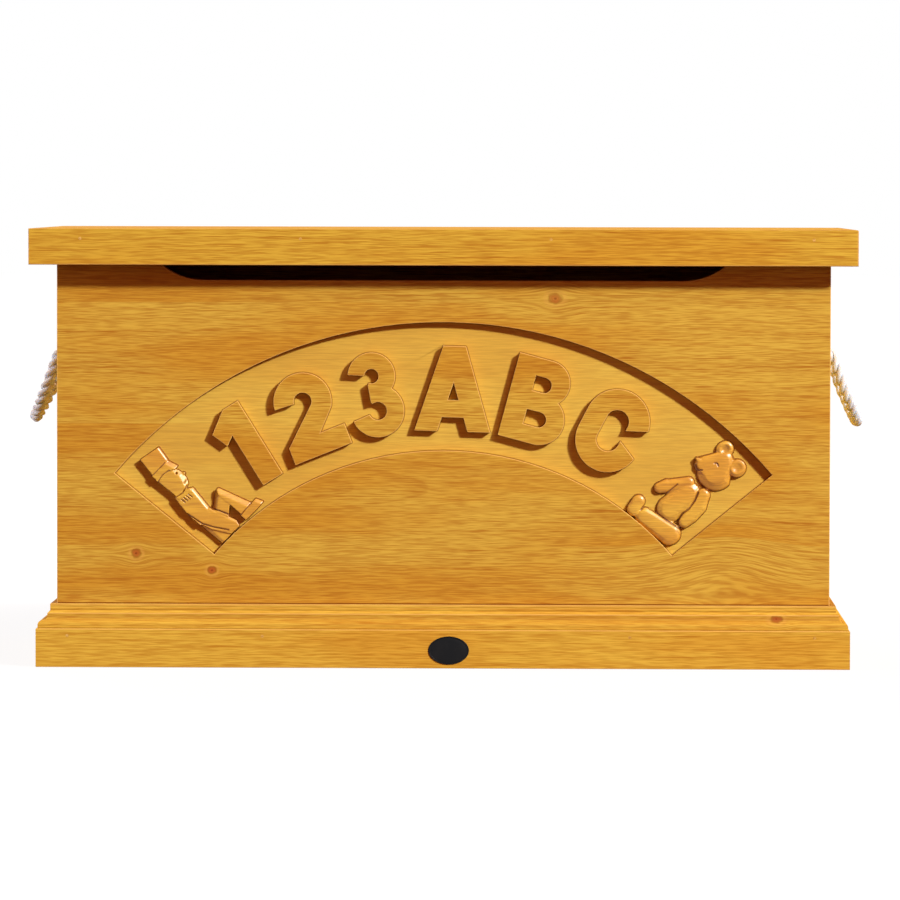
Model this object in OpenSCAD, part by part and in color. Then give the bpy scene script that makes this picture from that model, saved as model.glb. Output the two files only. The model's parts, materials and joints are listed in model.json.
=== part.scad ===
// Wooden toy box with a hinged lid, a carved front panel and rope handles.
// Millimetres, +Z up, front towards -Y, origin under the middle of the whole box.

/* [Body] */
// Width of the body over its side panels
body_w = 856; // [820:1:890]
// Depth of the body over its front and back panels
body_d = 427; // [390:1:470]
// Height of the closed box
total_h = 485; // [475:1:520]
// Thickness of the four wall panels
board_t = 20; // [18:1:24]
// Thickness of the floor board
floor_t = 12; // [9:1:18]
// Height of the floor board's underside
floor_z = 50; // [44:1:56]
// Side of the square battens
batten = 20; // [16:1:24]

/* [Lid] */
// Overhang of the lid past the front panel
over_front = 30; // [27:1:36]
// Overhang of the lid past each side panel
over_side = 29; // [27:1:36]
// Thickness of the lid's top panel
lid_t = 20; // [18:1:24]
// Thickness of the lipping strips
lip_t = 18; // [14:1:20]
// Height of the lipping strips
lip_h = 40; // [34:1:44]

/* [Finger cut-out] */
// Length of the straight bottom of the cut-out
cut_flat = 530; // [400:1:560]
// Depth of the cut-out below the panel's top edge
cut_depth = 37; // [30:0.5:42]
// Radius of the cut-out's two corners
cut_r = 74; // [50:1:90]

/* [Carved arch] */
// Radius of the arch's upper edge
arch_outer = 478; // [470:1:482]
// Radius of the arch's lower edge
arch_inner = 336; // [330:1:340]
// Angle of each end wall from the vertical
end_angle = 51; // [49:0.5:52]
// Height over the arch's centre at which the two end walls would meet
end_meet = 15; // [0:1:18]
// Height of the arch's centre
arch_z = -96; // [-102:1:-94]
// Depth of the sunk ground
arch_depth = 8; // [7:0.5:12]
// Radius at which the characters stand
letter_r = 357; // [350:1:360]
// Height of the characters
letter_h = 95; // [90:1:97]
// Angle of the two figures from the vertical
figure_angle = 49; // [48:0.5:50]
// Thickness of the two carved figures
figure_t = 7; // [6:0.5:7]

/* [Plinth] */
// Height of the plinth
plinth_h = 69.5; // [68:0.5:76]
// How far the plinth's flat face stands out
plinth_out = 22; // [21:0.5:24]

/* [Rope handles] */
// Diameter of the rope
rope_d = 14; // [12:0.5:14.5]
// Diameter of the holes that the rope passes through
rope_hole = 16; // [16:0.5:18]
// Distance between the two holes of a handle
rope_span = 110; // [100:1:120]
// Height of the holes
rope_z = 345; // [335:1:370]

/* [Hinges and stays] */
// Length of a hinge
hinge_w = 70; // [60:1:80]
// Distance of each hinge from the middle
hinge_x = 300; // [250:1:330]
// Distance of the stay's two pivots from the hinge axis
stay_r = 120; // [115:1:125]
// Opening angle of the lid
lid_open = 95; // [85:1:95]

/* [Hidden] */
$fn = 48;
fit = 0.05;
gap = 0.3;
cut = 1;

// Places
hinge_out = 4.5;
knuckle_r = 4;
front_y = over_front - (body_d + over_front + hinge_out + knuckle_r) / 2;
back_y = front_y + body_d;
mid_y = (front_y + back_y) / 2;
inner_front = front_y + board_t;
inner_back = back_y - board_t;
half_w = body_w / 2;
inner_w = half_w - board_t;
lid_z = total_h - lid_t;
wall_h = lid_z - gap;
floor_top = floor_z + floor_t;
lid_half = half_w + over_side;
lid_front = front_y - over_front;
hinge_y = back_y + hinge_out;

// Lid stay: P is its pivot on the lid, Q its stud on the side panel, both stay_r from the hinge
stay_drop = 15;
stay_start = 16;
stay_tilt = asin(stay_drop / stay_r);
p_y = hinge_y - stay_r * cos(stay_tilt);
p_z = lid_z - stay_drop;
q_y = hinge_y - stay_r * cos(stay_tilt + stay_start);
q_z = lid_z - stay_r * sin(stay_tilt + stay_start);
slot_near = 2 * stay_r * sin(stay_start / 2) - 0.5;
slot_far = 2 * stay_r * sin((stay_start + lid_open) / 2) + 0.5;
arm_angle = -90 + stay_tilt + stay_start / 2;
arm_w = 14;
arm_t = 2;
arm_x = inner_w - 5;
stud_r = 2.5;
rivet_r = 2;

// Fasteners: [head radius, shank radius, length]
batten_screw = [4, 1.9, 32];
floor_screw = [4, 1.9, 28];
hinge_screw = [3, 1.5, 16];
stay_screw = [2.6, 1.3, 13];
pin_r = 0.9;
filler_r = 1.7;
filler_t = 2;
lip_pins = [-400, -157, 119, 408];
plinth_pins_x = [-415, -199, 207, 411];
side_pins_y = [-150, 0, 150];

// Route of the right rope handle outside the panel: [out from the panel, along from the middle, down]
rope_half = [
    [7, 55, 0], [11.5, 55, 7], [14.5, 55, 15], [17.5, 54, 24], [21, 52, 34], [25, 48, 45],
    [29, 42, 54], [32.5, 33, 63], [36, 22, 71], [38.5, 11, 76.5], [39.5, 0, 78.5]
];
rope_n = len(rope_half);
rope_pivot = rope_half[0][0];
rope_sides = 10;

wood = "goldenrod";
brass = "#c9a450";
steel = "silver";

// ---------- helpers ----------

// A block given by its low and high corners
module block(low, high) {
    translate(low)
        cube(high - low);
}

// Children on the right side (side = 1) or mirrored to the left (side = -1)
module on_side(side) {
    if (side > 0) children();
    else mirror([1, 0, 0]) children();
}

// An outline in (Y, Z), extruded along X from x0 to x1
module along_x(x0, x1) {
    translate([x0, 0, 0])
        rotate([90, 0, 90])
            linear_extrude(x1 - x0) children();
}

// An outline in (X, Z), extruded along Y from y0 to y1
module along_y(y0, y1) {
    translate([0, y1, 0])
        rotate([90, 0, 0])
            linear_extrude(y1 - y0) children();
}

// A cylinder from a point along a direction given as a turn of +Z
module rod(at, turn, r, length) {
    translate(at)
        rotate(turn)
            cylinder(r = r, h = length);
}

// A strip with round ends from a to b
module strip_2d(a, b, r) {
    d = b - a;
    translate(a)
        rotate(atan2(d[1], d[0])) {
            circle(r);
            translate([0, -r])
                square([norm(d), 2 * r]);
            translate([norm(d), 0])
                circle(r);
        }
}

// Points on an arc
function arc(c, r, from, to, n = 8) =
    [for (i = [0:n]) c + r * [cos(from + (to - from) * i / n), sin(from + (to - from) * i / n)]];

// Countersunk screw with its head's face at the origin, pointing along +Z
module screw(s) {
    head_h = s[0] - s[1];
    difference() {
        union() {
            cylinder(r1 = s[0], r2 = s[1], h = head_h);
            cylinder(r = s[1], h = s[2] - 2 * s[1]);
            translate([0, 0, s[2] - 2 * s[1]])
                cylinder(r1 = s[1], r2 = 0.3, h = 2 * s[1]);
        }
        for (a = [45, 135])
            rotate(a)
                translate([-0.6 * s[0], -0.16 * s[0], -cut])
                    cube([1.2 * s[0], 0.32 * s[0], cut + 0.45 * s[0]]);
    }
}

// The hole that a screw sits in
module screw_hole(s) {
    head_h = s[0] - s[1];
    translate([0, 0, -fit])
        cylinder(r1 = s[0] + fit, r2 = s[1] + fit, h = head_h + fit);
    translate([0, 0, -cut])
        cylinder(r = s[1] + fit, h = s[2] + cut + gap);
}

// Children at each placement [x, y, z, turn]
module at_each(places) {
    for (p = places)
        translate([p[0], p[1], p[2]])
            rotate(p[3])
                children();
}

// Turns of +Z towards each direction
to_front = [90, 0, 0];
to_back = [-90, 0, 0];
to_left = [0, -90, 0];
to_right = [0, 90, 0];
to_up = [0, 0, 0];
to_down = [180, 0, 0];

// ---------- placements of the fasteners ----------

function corner_places() = [
    for (sx = [-1, 1]) for (z = [120, 400]) each [
        [sx * (inner_w - batten / 2), inner_front + batten, z, to_front],
        [sx * (inner_w - batten / 2), inner_back - batten, z, to_back],
        [sx * (inner_w - batten), inner_front + batten / 2, z + 25, sx > 0 ? to_right : to_left],
        [sx * (inner_w - batten), inner_back - batten / 2, z + 25, sx > 0 ? to_right : to_left]
    ]
];
function floor_batten_places() = [
    for (x = [-240, -80, 80, 240]) each [
        [x, inner_front + batten, floor_z - batten / 2, to_front],
        [x, inner_back - batten, floor_z - batten / 2, to_back]
    ],
    for (sx = [-1, 1]) for (y = [-90, 90])
        [sx * (inner_w - batten), mid_y + y, floor_z - batten / 2, sx > 0 ? to_right : to_left]
];
function floor_places() = [
    for (x = [-320, 0, 320]) each [
        [x, inner_front + batten / 2, floor_top, to_down],
        [x, inner_back - batten / 2, floor_top, to_down]
    ]
];
function leaf_places(z, turn) = [
    for (sx = [-1, 1]) for (x = [-25, 0, 25])
        [sx * hinge_x + x, back_y - (x == 0 ? 12 : 7), z, turn]
];
leaf_t = 1.8;
leaf_rebate = 2;
leaf_d = 18;
lower_leaf_top = wall_h - leaf_rebate + leaf_t;
upper_leaf_bottom = lid_z + leaf_rebate - leaf_t;
stud_plate_t = 1.5;
bracket_t = 1.5;
bracket_x = arm_x - gap - bracket_t;
function stud_places(side) = [
    for (dz = [-12, 12])
        [side * (inner_w - stud_plate_t), q_y, q_z + dz, side > 0 ? to_right : to_left]
];
function bracket_places(side) = [
    for (dy = [-9, 9])
        [side * (bracket_x - 6), p_y + dy, lid_z - bracket_t, to_up]
];
function lip_front_places() = [for (x = lip_pins) [x, lid_front, total_h - 11, to_back]];
function lip_side_places(side) = [
    for (y = side_pins_y) [side * lid_half, y, total_h - 11, side > 0 ? to_left : to_right]
];
function lip_places() = concat(lip_front_places(), lip_side_places(-1), lip_side_places(1));
function plinth_front_places() = [for (x = plinth_pins_x) [x, front_y - plinth_out, 35, to_back]];
function plinth_side_places(side) = [
    for (y = side_pins_y) [side * (half_w + plinth_out), y, 35, side > 0 ? to_left : to_right]
];
function plinth_places() =
    concat(plinth_front_places(), plinth_side_places(-1), plinth_side_places(1));

// Brad under its filler, along +Z from the wood's face
module brad(length) {
    translate([0, 0, filler_t + fit])
        cylinder(r = pin_r, h = length);
}
module brad_hole(length) {
    translate([0, 0, -cut])
        cylinder(r = filler_r + fit, h = filler_t + cut);
    cylinder(r = pin_r + fit, h = length + filler_t + gap);
}
brad_l = 34;

// ---------- outlines of the carved arch ----------

module glyph_a() {
    lean = 30 / 97;
    foot = 17;
    bar = [16, 36];
    difference() {
        polygon([
            [-43, 0], [-foot, 0], [-foot + lean * bar[0], bar[0]],
            [foot - lean * bar[0], bar[0]], [foot, 0], [43, 0], [13, 97], [-13, 97]
        ]);
        polygon([
            [lean * bar[1] - foot, bar[1]], [foot - lean * bar[1], bar[1]], [0, foot / lean]
        ]);
    }
}

module glyph_b() {
    difference() {
        union() {
            translate([-34, 0])
                square([41, 57]);
            translate([7, 28.5])
                circle(28.5, $fn = 96);
            translate([-34, 45])
                square([39, 52]);
            translate([5, 71])
                circle(26, $fn = 96);
        }
        strip_2d([-1, 28.5], [6, 28.5], 8.5);
        translate([-9.5, 20])
            square([9, 17]);
        strip_2d([-1, 67.5], [2, 67.5], 8.5);
        translate([-9.5, 59])
            square([9, 17]);
    }
}

module glyph_c() {
    difference() {
        strip_2d([0, 37], [0, 60], 37, $fn = 96);
        strip_2d([0, 37], [0, 60], 13);
        polygon([[0, 48.5], [60, 20], [60, 77]]);
    }
}

module glyph_1() {
    polygon([[-12, 0], [14, 0], [14, 97], [-6, 97], [-31, 79], [-23, 59], [-12, 66]]);
}

module glyph_2() {
    difference() {
        translate([0, 64])
            circle(33, $fn = 96);
        translate([0, 64])
            circle(10);
        polygon([[0, 64], [-60, 68], [-60, 0], [60, 0], [60, 22]]);
    }
    polygon([[9, 59], [-34, 20], [-34, 0], [35, 0], [35, 24], [6, 24], [27.4, 46]]);
}

module glyph_3() {
    difference() {
        union() {
            translate([0, 70])
                circle(27, $fn = 96);
            translate([0, 30])
                circle(30, $fn = 96);
        }
        translate([0, 70])
            circle(8);
        translate([0, 30])
            circle(10);
        polygon([[-60, 84], [0, 70], [-6, 61], [-6, 40.5], [0, 30], [-60, 16]]);
    }
}

// Children, drawn 97 high, stand on the arch at an angle from the vertical, clockwise
module on_arch(angle, r) {
    drawn_h = 97;
    translate([0, arch_z])
        rotate(-angle)
            translate([0, r])
                scale(letter_h / drawn_h)
                    children();
}

module raised_characters() {
    on_arch(-32, letter_r)
        glyph_1();
    on_arch(-21.8, letter_r)
        glyph_2();
    on_arch(-10.8, letter_r)
        glyph_3();
    on_arch(1.6, letter_r)
        glyph_a();
    on_arch(15, letter_r)
        glyph_b();
    on_arch(27.6, letter_r)
        glyph_c();
}

module arch_ground() {
    reach = 2 * arch_outer;
    difference() {
        translate([0, arch_z])
            intersection() {
                difference() {
                    circle(arch_outer, $fn = 240);
                    circle(arch_inner, $fn = 240);
                }
                translate([0, end_meet])
                    polygon([
                        [0, 0],
                        reach * [sin(end_angle), cos(end_angle)],
                        [0, reach],
                        reach * [-sin(end_angle), cos(end_angle)]
                    ]);
            }
        raised_characters();
    }
}

// Seated teddy bear in profile
module bear_2d() {
    translate([3, 102])
        circle(20);
    strip_2d([-12, 97], [-4, 100], 9.5);
    translate([-9, 126])
        circle(9.5);
    translate([17, 124])
        circle(9.5);
    strip_2d([4, 68], [4, 44], 16);
    strip_2d([-9, 72], [-22, 46], 7);
    strip_2d([19, 74], [22, 44], 7.5);
    strip_2d([-14, 14], [22, 18], 12);
    strip_2d([-27, 10], [-25, 20], 8);
}

// Seated toy soldier in profile, with a tall hat
module soldier_2d() {
    polygon([[-26, 99], [0, 99], [4, 130], [-30, 130]]);
    polygon([[-14, 96], [8, 94], [8, 99], [-14, 103]]);
    translate([-13, 88])
        circle(13);
    strip_2d([-16, 64], [-20, 18], 13);
    strip_2d([-18, 14], [12, 40], 9);
    strip_2d([12, 40], [19, 12], 8);
    strip_2d([19, 9], [30, 7], 7);
}

// Children stand a distance in from an end of the arch
module beside_end(side, inset, r) {
    translate([0, arch_z])
        rotate(-side * figure_angle)
            translate([-side * inset, r])
                children();
}

// ---------- wall panels ----------

module front_panel() {
    color(wood)
        difference() {
            block([-half_w, front_y, 0], [half_w, inner_front, wall_h]);
            along_y(front_y - cut, inner_front + cut) {
                translate([-cut_flat / 2, lid_z - cut_depth])
                    square([cut_flat, cut_depth + cut]);
                for (sx = [-1, 1])
                    translate([sx * cut_flat / 2, lid_z - cut_depth + cut_r])
                        circle(cut_r, $fn = 96);
            }
            along_y(front_y - cut, front_y + arch_depth)
                arch_ground();
            at_each(corner_places())
                screw_hole(batten_screw);
            at_each(floor_batten_places())
                screw_hole(batten_screw);
            at_each(plinth_front_places())
                brad_hole(brad_l);
        }
}

module back_panel() {
    color(wood)
        difference() {
            block([-half_w, inner_back, 0], [half_w, back_y, wall_h]);
            for (sx = [-1, 1])
                block(
                    [sx * hinge_x - hinge_w / 2 - fit, back_y - leaf_d - fit, wall_h - leaf_rebate],
                    [sx * hinge_x + hinge_w / 2 + fit, back_y + cut, wall_h + cut]
                );
            at_each(corner_places())
                screw_hole(batten_screw);
            at_each(floor_batten_places())
                screw_hole(batten_screw);
            at_each(leaf_places(lower_leaf_top, to_down))
                screw_hole(hinge_screw);
        }
}

module side_panel(side) {
    color(wood)
        difference() {
            on_side(side)
                block([inner_w, inner_front, 0], [half_w, inner_back, wall_h]);
            for (dy = [-1, 1])
                rod(
                    [side * (inner_w - cut), mid_y + dy * rope_span / 2, rope_z],
                    side > 0 ? to_right : to_left, rope_hole / 2, board_t + 2 * cut
                );
            at_each(corner_places())
                screw_hole(batten_screw);
            at_each(floor_batten_places())
                screw_hole(batten_screw);
            at_each(stud_places(side))
                screw_hole(stay_screw);
            at_each(plinth_side_places(side))
                brad_hole(brad_l);
        }
}

module left_side_panel() side_panel(-1);
module right_side_panel() side_panel(1);

// ---------- floor and battens ----------

module floor_board() {
    side_gap = 0.5;
    color(wood)
        difference() {
            block(
                [-inner_w + side_gap, inner_front + side_gap, floor_z],
                [inner_w - side_gap, inner_back - side_gap, floor_top]
            );
            at_each(floor_places())
                screw_hole(floor_screw);
        }
}

module floor_batten(low, high) {
    color(wood)
        difference() {
            block([low[0], low[1], floor_z - batten], [high[0], high[1], floor_z]);
            at_each(floor_batten_places())
                screw_hole(batten_screw);
            at_each(floor_places())
                screw_hole(floor_screw);
        }
}

module front_floor_batten() floor_batten([-inner_w, inner_front], [inner_w, inner_front + batten]);
module rear_floor_batten() floor_batten([-inner_w, inner_back - batten], [inner_w, inner_back]);
module right_floor_batten()
    floor_batten([inner_w - batten, inner_front + batten], [inner_w, inner_back - batten]);
module left_floor_batten()
    floor_batten([-inner_w, inner_front + batten], [batten - inner_w, inner_back - batten]);

module corner_batten(side, low_y) {
    below_lid = 10;
    color(wood)
        difference() {
            on_side(side)
                block(
                    [inner_w - batten, low_y, floor_top],
                    [inner_w, low_y + batten, wall_h - below_lid]
                );
            at_each(corner_places())
                screw_hole(batten_screw);
        }
}

module front_left_corner_batten() corner_batten(-1, inner_front);
module front_right_corner_batten() corner_batten(1, inner_front);
module rear_left_corner_batten() corner_batten(-1, inner_back - batten);
module rear_right_corner_batten() corner_batten(1, inner_back - batten);

module corner_batten_screws() {
    color(steel)
        at_each(corner_places())
            screw(batten_screw);
}

module floor_batten_screws() {
    color(steel)
        at_each(floor_batten_places())
            screw(batten_screw);
}

module floor_screws() {
    color(steel)
        at_each(floor_places())
            screw(floor_screw);
}

// ---------- plinth ----------

// Profile in (out, up): flat face, step, ogee, sloping ledge and top fillet
module plinth_profile() {
    face_h = 42.5;
    ogee_r = 5;
    step = 2;
    swell = plinth_out - step - ogee_r;
    mid_h = face_h + 9;
    polygon(concat(
        [[0, 0], [plinth_out, 0], [plinth_out, face_h], [plinth_out - step, face_h + 0.6]],
        arc([swell, mid_h - ogee_r], ogee_r, 0, 90),
        arc([swell, mid_h + ogee_r], ogee_r, 270, 180),
        [
            [swell - ogee_r, mid_h + ogee_r + 2.5], [swell - ogee_r - 3, mid_h + ogee_r + 5.5],
            [swell - ogee_r - 3, plinth_h], [0, plinth_h]
        ]
    ));
}

module plinth_front() {
    color(wood)
        difference() {
            intersection() {
                along_x(-half_w - plinth_out, half_w + plinth_out)
                    translate([front_y, 0])
                        mirror([1, 0])
                            plinth_profile();
                linear_extrude(plinth_h)
                    polygon([
                        [-half_w, front_y], [half_w, front_y],
                        [half_w + plinth_out, front_y - plinth_out],
                        [-half_w - plinth_out, front_y - plinth_out]
                    ]);
            }
            at_each(plinth_front_places())
                brad_hole(brad_l);
        }
}

module plinth_side(side) {
    color(wood)
        difference() {
            on_side(side)
                intersection() {
                    along_y(front_y - plinth_out, back_y)
                        translate([half_w, 0])
                            plinth_profile();
                    linear_extrude(plinth_h)
                        polygon([
                            [half_w, front_y], [half_w + plinth_out, front_y - plinth_out],
                            [half_w + plinth_out, back_y], [half_w, back_y]
                        ]);
                }
            at_each(plinth_side_places(side))
                brad_hole(brad_l);
        }
}

module plinth_left() plinth_side(-1);
module plinth_right() plinth_side(1);

module plinth_pins() {
    color(steel)
        at_each(plinth_places())
            brad(brad_l);
}

module plinth_pin_fillers() {
    color("peru")
        at_each(plinth_places())
            cylinder(r = filler_r, h = filler_t);
}

// Blank oval plate glued to the plinth
module badge() {
    size = [45, 31];
    sides = 60;
    color("black")
        along_y(front_y - plinth_out - 1.5, front_y - plinth_out)
            translate([7, 20])
                polygon([
                    for (i = [0:sides - 1])
                        [size[0] / 2 * cos(i * 360 / sides), size[1] / 2 * sin(i * 360 / sides)]
                ]);
}

// ---------- carved figures, glued to the arch's ground ----------

module figure_body() {
    color("darkgoldenrod")
        along_y(front_y + arch_depth - figure_t, front_y + arch_depth)
            children();
}

module bear_carving()
    figure_body()
        beside_end(1, 45, arch_inner - 4)
            bear_2d();

module soldier_carving()
    figure_body()
        beside_end(-1, 46, arch_inner - 6)
            soldier_2d();

// ---------- hinges ----------

knuckle_l = hinge_w / 5;

// The knuckles of one leaf, which are those in the list
module knuckles(sx, list) {
    for (i = list)
        rod(
            [sx * hinge_x - hinge_w / 2 + i * knuckle_l + gap / 2, hinge_y, lid_z],
            to_right, knuckle_r, knuckle_l - gap
        );
}

// Necks that join the knuckles to the leaf
module necks(sx, list, low_z, high_z) {
    for (i = list) {
        x = sx * hinge_x - hinge_w / 2 + i * knuckle_l;
        block([x + gap / 2, back_y - 1, low_z], [x + knuckle_l - gap / 2, hinge_y, high_z]);
    }
}

module hinge_leaf(sx, list, low_z, high_z) {
    color(brass)
        difference() {
            union() {
                block(
                    [sx * hinge_x - hinge_w / 2, back_y - leaf_d, low_z],
                    [sx * hinge_x + hinge_w / 2, back_y, high_z]
                );
                knuckles(sx, list);
                necks(sx, list, low_z, high_z);
            }
            rod([sx * hinge_x - hinge_w / 2 - cut, hinge_y, lid_z], to_right, 1.55, hinge_w + 2 * cut);
            children();
        }
}

module lower_leaf(sx)
    hinge_leaf(sx, [0, 2, 4], lower_leaf_top - leaf_t, lower_leaf_top)
        at_each(leaf_places(lower_leaf_top, to_down))
            screw_hole(hinge_screw);

module upper_leaf(sx)
    hinge_leaf(sx, [1, 3], upper_leaf_bottom, upper_leaf_bottom + leaf_t)
        at_each(leaf_places(upper_leaf_bottom, to_up))
            screw_hole(hinge_screw);

module hinge_pin(sx) {
    end = hinge_w / 2 + 0.2;
    color(brass) {
        rod([sx * hinge_x - end, hinge_y, lid_z], to_right, 1.5, 2 * end);
        for (side = [-1, 1])
            rod(
                [sx * hinge_x + side * end, hinge_y, lid_z],
                side > 0 ? to_right : to_left, 2.8, 1.2
            );
    }
}

module left_hinge_lower_leaf() lower_leaf(-1);
module right_hinge_lower_leaf() lower_leaf(1);
module left_hinge_upper_leaf() upper_leaf(-1);
module right_hinge_upper_leaf() upper_leaf(1);
module left_hinge_pin() hinge_pin(-1);
module right_hinge_pin() hinge_pin(1);

module hinge_lower_screws() {
    color(brass)
        at_each(leaf_places(lower_leaf_top, to_down))
            screw(hinge_screw);
}

module hinge_upper_screws() {
    color(brass)
        at_each(leaf_places(upper_leaf_bottom, to_up))
            screw(hinge_screw);
}

// ---------- lid stays ----------

module stay_stud(side) {
    color(steel)
        difference() {
            on_side(side) {
                along_x(inner_w - stud_plate_t, inner_w)
                    strip_2d([q_y, q_z - 12], [q_y, q_z + 12], 7);
                rod([arm_x - gap, q_y, q_z], to_right, stud_r, inner_w - arm_x + gap - 1);
                rod([arm_x - gap - 1.6, q_y, q_z], to_right, 5, 1.6);
            }
            at_each(stud_places(side))
                screw_hole(stay_screw);
        }
}

module left_stay_stud() stay_stud(-1);
module right_stay_stud() stay_stud(1);

module stay_stud_screws() {
    color(steel)
        at_each(concat(stud_places(-1), stud_places(1)))
            screw(stay_screw);
}

module stay_arm(side) {
    color(steel)
        on_side(side)
            along_x(arm_x, arm_x + arm_t)
                translate([p_y, p_z])
                    rotate(arm_angle)
                        difference() {
                            strip_2d([0, 0], [slot_far + 4, 0], arm_w / 2);
                            circle(rivet_r + 0.08);
                            strip_2d([slot_near, 0], [slot_far, 0], stud_r + gap);
                        }
}

module left_stay_arm() stay_arm(-1);
module right_stay_arm() stay_arm(1);

module stay_bracket(side) {
    color(steel)
        difference() {
            on_side(side) {
                block([bracket_x - 13, p_y - 15, lid_z - bracket_t], [bracket_x + bracket_t, p_y + 15, lid_z]);
                along_x(bracket_x, bracket_x + bracket_t) {
                    translate([p_y, p_z])
                        circle(8);
                    translate([p_y - 8, p_z])
                        square([16, stay_drop]);
                }
            }
            rod([side * (bracket_x - cut), p_y, p_z], side > 0 ? to_right : to_left, rivet_r + fit, 5);
            at_each(bracket_places(side))
                screw_hole(stay_screw);
        }
}

module left_stay_bracket() stay_bracket(-1);
module right_stay_bracket() stay_bracket(1);

module stay_rivet(side) {
    color(steel)
        on_side(side) {
            rod([bracket_x - 0.5, p_y, p_z], to_right, rivet_r, arm_x + arm_t - bracket_x + 1);
            rod([bracket_x - 1.2, p_y, p_z], to_right, 4, 1.2);
            rod([arm_x + arm_t + 0.2, p_y, p_z], to_right, 4, 1);
        }
}

module left_stay_rivet() stay_rivet(-1);
module right_stay_rivet() stay_rivet(1);

module stay_bracket_screws() {
    color(steel)
        at_each(concat(bracket_places(-1), bracket_places(1)))
            screw(stay_screw);
}

// ---------- lid ----------

module lid_panel() {
    color(wood)
        difference() {
            block([lip_t - lid_half, lid_front + lip_t, lid_z], [lid_half - lip_t, back_y, total_h]);
            for (sx = [-1, 1])
                block(
                    [sx * hinge_x - hinge_w / 2 - fit, back_y - leaf_d - fit, lid_z - cut],
                    [sx * hinge_x + hinge_w / 2 + fit, back_y + cut, lid_z + leaf_rebate]
                );
            at_each(leaf_places(upper_leaf_bottom, to_up))
                screw_hole(hinge_screw);
            for (side = [-1, 1])
                at_each(bracket_places(side))
                    screw_hole(stay_screw);
            at_each(lip_places())
                brad_hole(brad_l);
        }
}

module lid_front_lipping() {
    color(wood)
        difference() {
            translate([0, 0, total_h - lip_h])
                linear_extrude(lip_h)
                    polygon([
                        [-lid_half, lid_front], [lid_half, lid_front],
                        [lid_half - lip_t, lid_front + lip_t], [lip_t - lid_half, lid_front + lip_t]
                    ]);
            at_each(lip_front_places())
                brad_hole(brad_l);
        }
}

module lid_side_lipping(side) {
    color(wood)
        difference() {
            on_side(side)
                translate([0, 0, total_h - lip_h])
                    linear_extrude(lip_h)
                        polygon([
                            [lid_half, lid_front], [lid_half, back_y],
                            [lid_half - lip_t, back_y], [lid_half - lip_t, lid_front + lip_t]
                        ]);
            at_each(lip_side_places(side))
                brad_hole(brad_l);
        }
}

module lid_left_lipping() lid_side_lipping(-1);
module lid_right_lipping() lid_side_lipping(1);

module lipping_pins() {
    color(steel)
        at_each(lip_places())
            brad(brad_l);
}

module lipping_pin_fillers() {
    color("peru")
        at_each(lip_places())
            cylinder(r = filler_r, h = filler_t);
}

// ---------- rope handles ----------

// Whole route, from one hole's mouth to the other's, as [x, y, z] on the right side
function rope_at(p, way) = [half_w + p[0], mid_y + way * p[1], rope_z - p[2]];
function rope_route() = concat(
    [for (i = [0:rope_n - 1]) rope_at(rope_half[i], 1)],
    [for (i = [rope_n - 2:-1:0]) rope_at(rope_half[i], -1)]
);
function unit(v) = v / norm(v);
function heading(route, i) =
    unit(route[min(i + 1, len(route) - 1)] - route[max(i - 1, 0)]);

// A ring of points round a centre, square to a heading
function ring(c, h, r) =
    let(u = unit(cross(h, [1, 0.01, 0])), v = cross(h, u))
    [for (k = [0:rope_sides - 1]) c + r * (cos(k * 360 / rope_sides) * u + sin(k * 360 / rope_sides) * v)];

// The tube's rings, with a round end on each pivot
function rope_rings(route) =
    let(
        n = len(route),
        r = rope_d / 2,
        first = heading(route, 0),
        last = heading(route, n - 1),
        ends = [80, 55, 28]
    )
    concat(
        [for (a = ends) ring(route[0] - r * sin(a) * first, first, r * cos(a))],
        [for (i = [0:n - 1]) ring(route[i], heading(route, i), r)],
        [for (i = [2:-1:0]) ring(route[n - 1] + r * sin(ends[i]) * last, last, r * cos(ends[i]))]
    );

module rope_handle(side) {
    rings = rope_rings(rope_route());
    n = len(rings);
    m = rope_sides;
    faces = concat(
        [[for (k = [0:m - 1]) k]],
        [
            for (i = [0:n - 2]) for (k = [0:m - 1]) each [
                [i * m + k, (i + 1) * m + k, (i + 1) * m + (k + 1) % m],
                [i * m + k, (i + 1) * m + (k + 1) % m, i * m + (k + 1) % m]
            ]
        ],
        [[for (k = [m - 1:-1:0]) (n - 1) * m + k]]
    );
    color("ivory")
        on_side(side)
            polyhedron(points = [for (r = rings) each r], faces = faces);
}

module left_rope_handle() rope_handle(-1);
module right_rope_handle() rope_handle(1);

// Knotted ends: a ball against the inner face and the stretch of rope in each hole
module rope_ends(side) {
    knot_r = 13;
    color("ivory")
        on_side(side)
            for (dy = [-1, 1])
                translate([inner_w - knot_r - 0.1, mid_y + dy * rope_span / 2, rope_z]) {
                    sphere(knot_r);
                    rotate(to_right)
                        cylinder(r = rope_d / 2, h = knot_r + board_t + rope_pivot - rope_d / 2 - 0.3);
                    rotate([180, 0, 0])
                        cylinder(r = rope_d / 2, h = 34);
                }
}

module left_rope_ends() rope_ends(-1);
module right_rope_ends() rope_ends(1);

// ---------- assembly ----------

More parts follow.
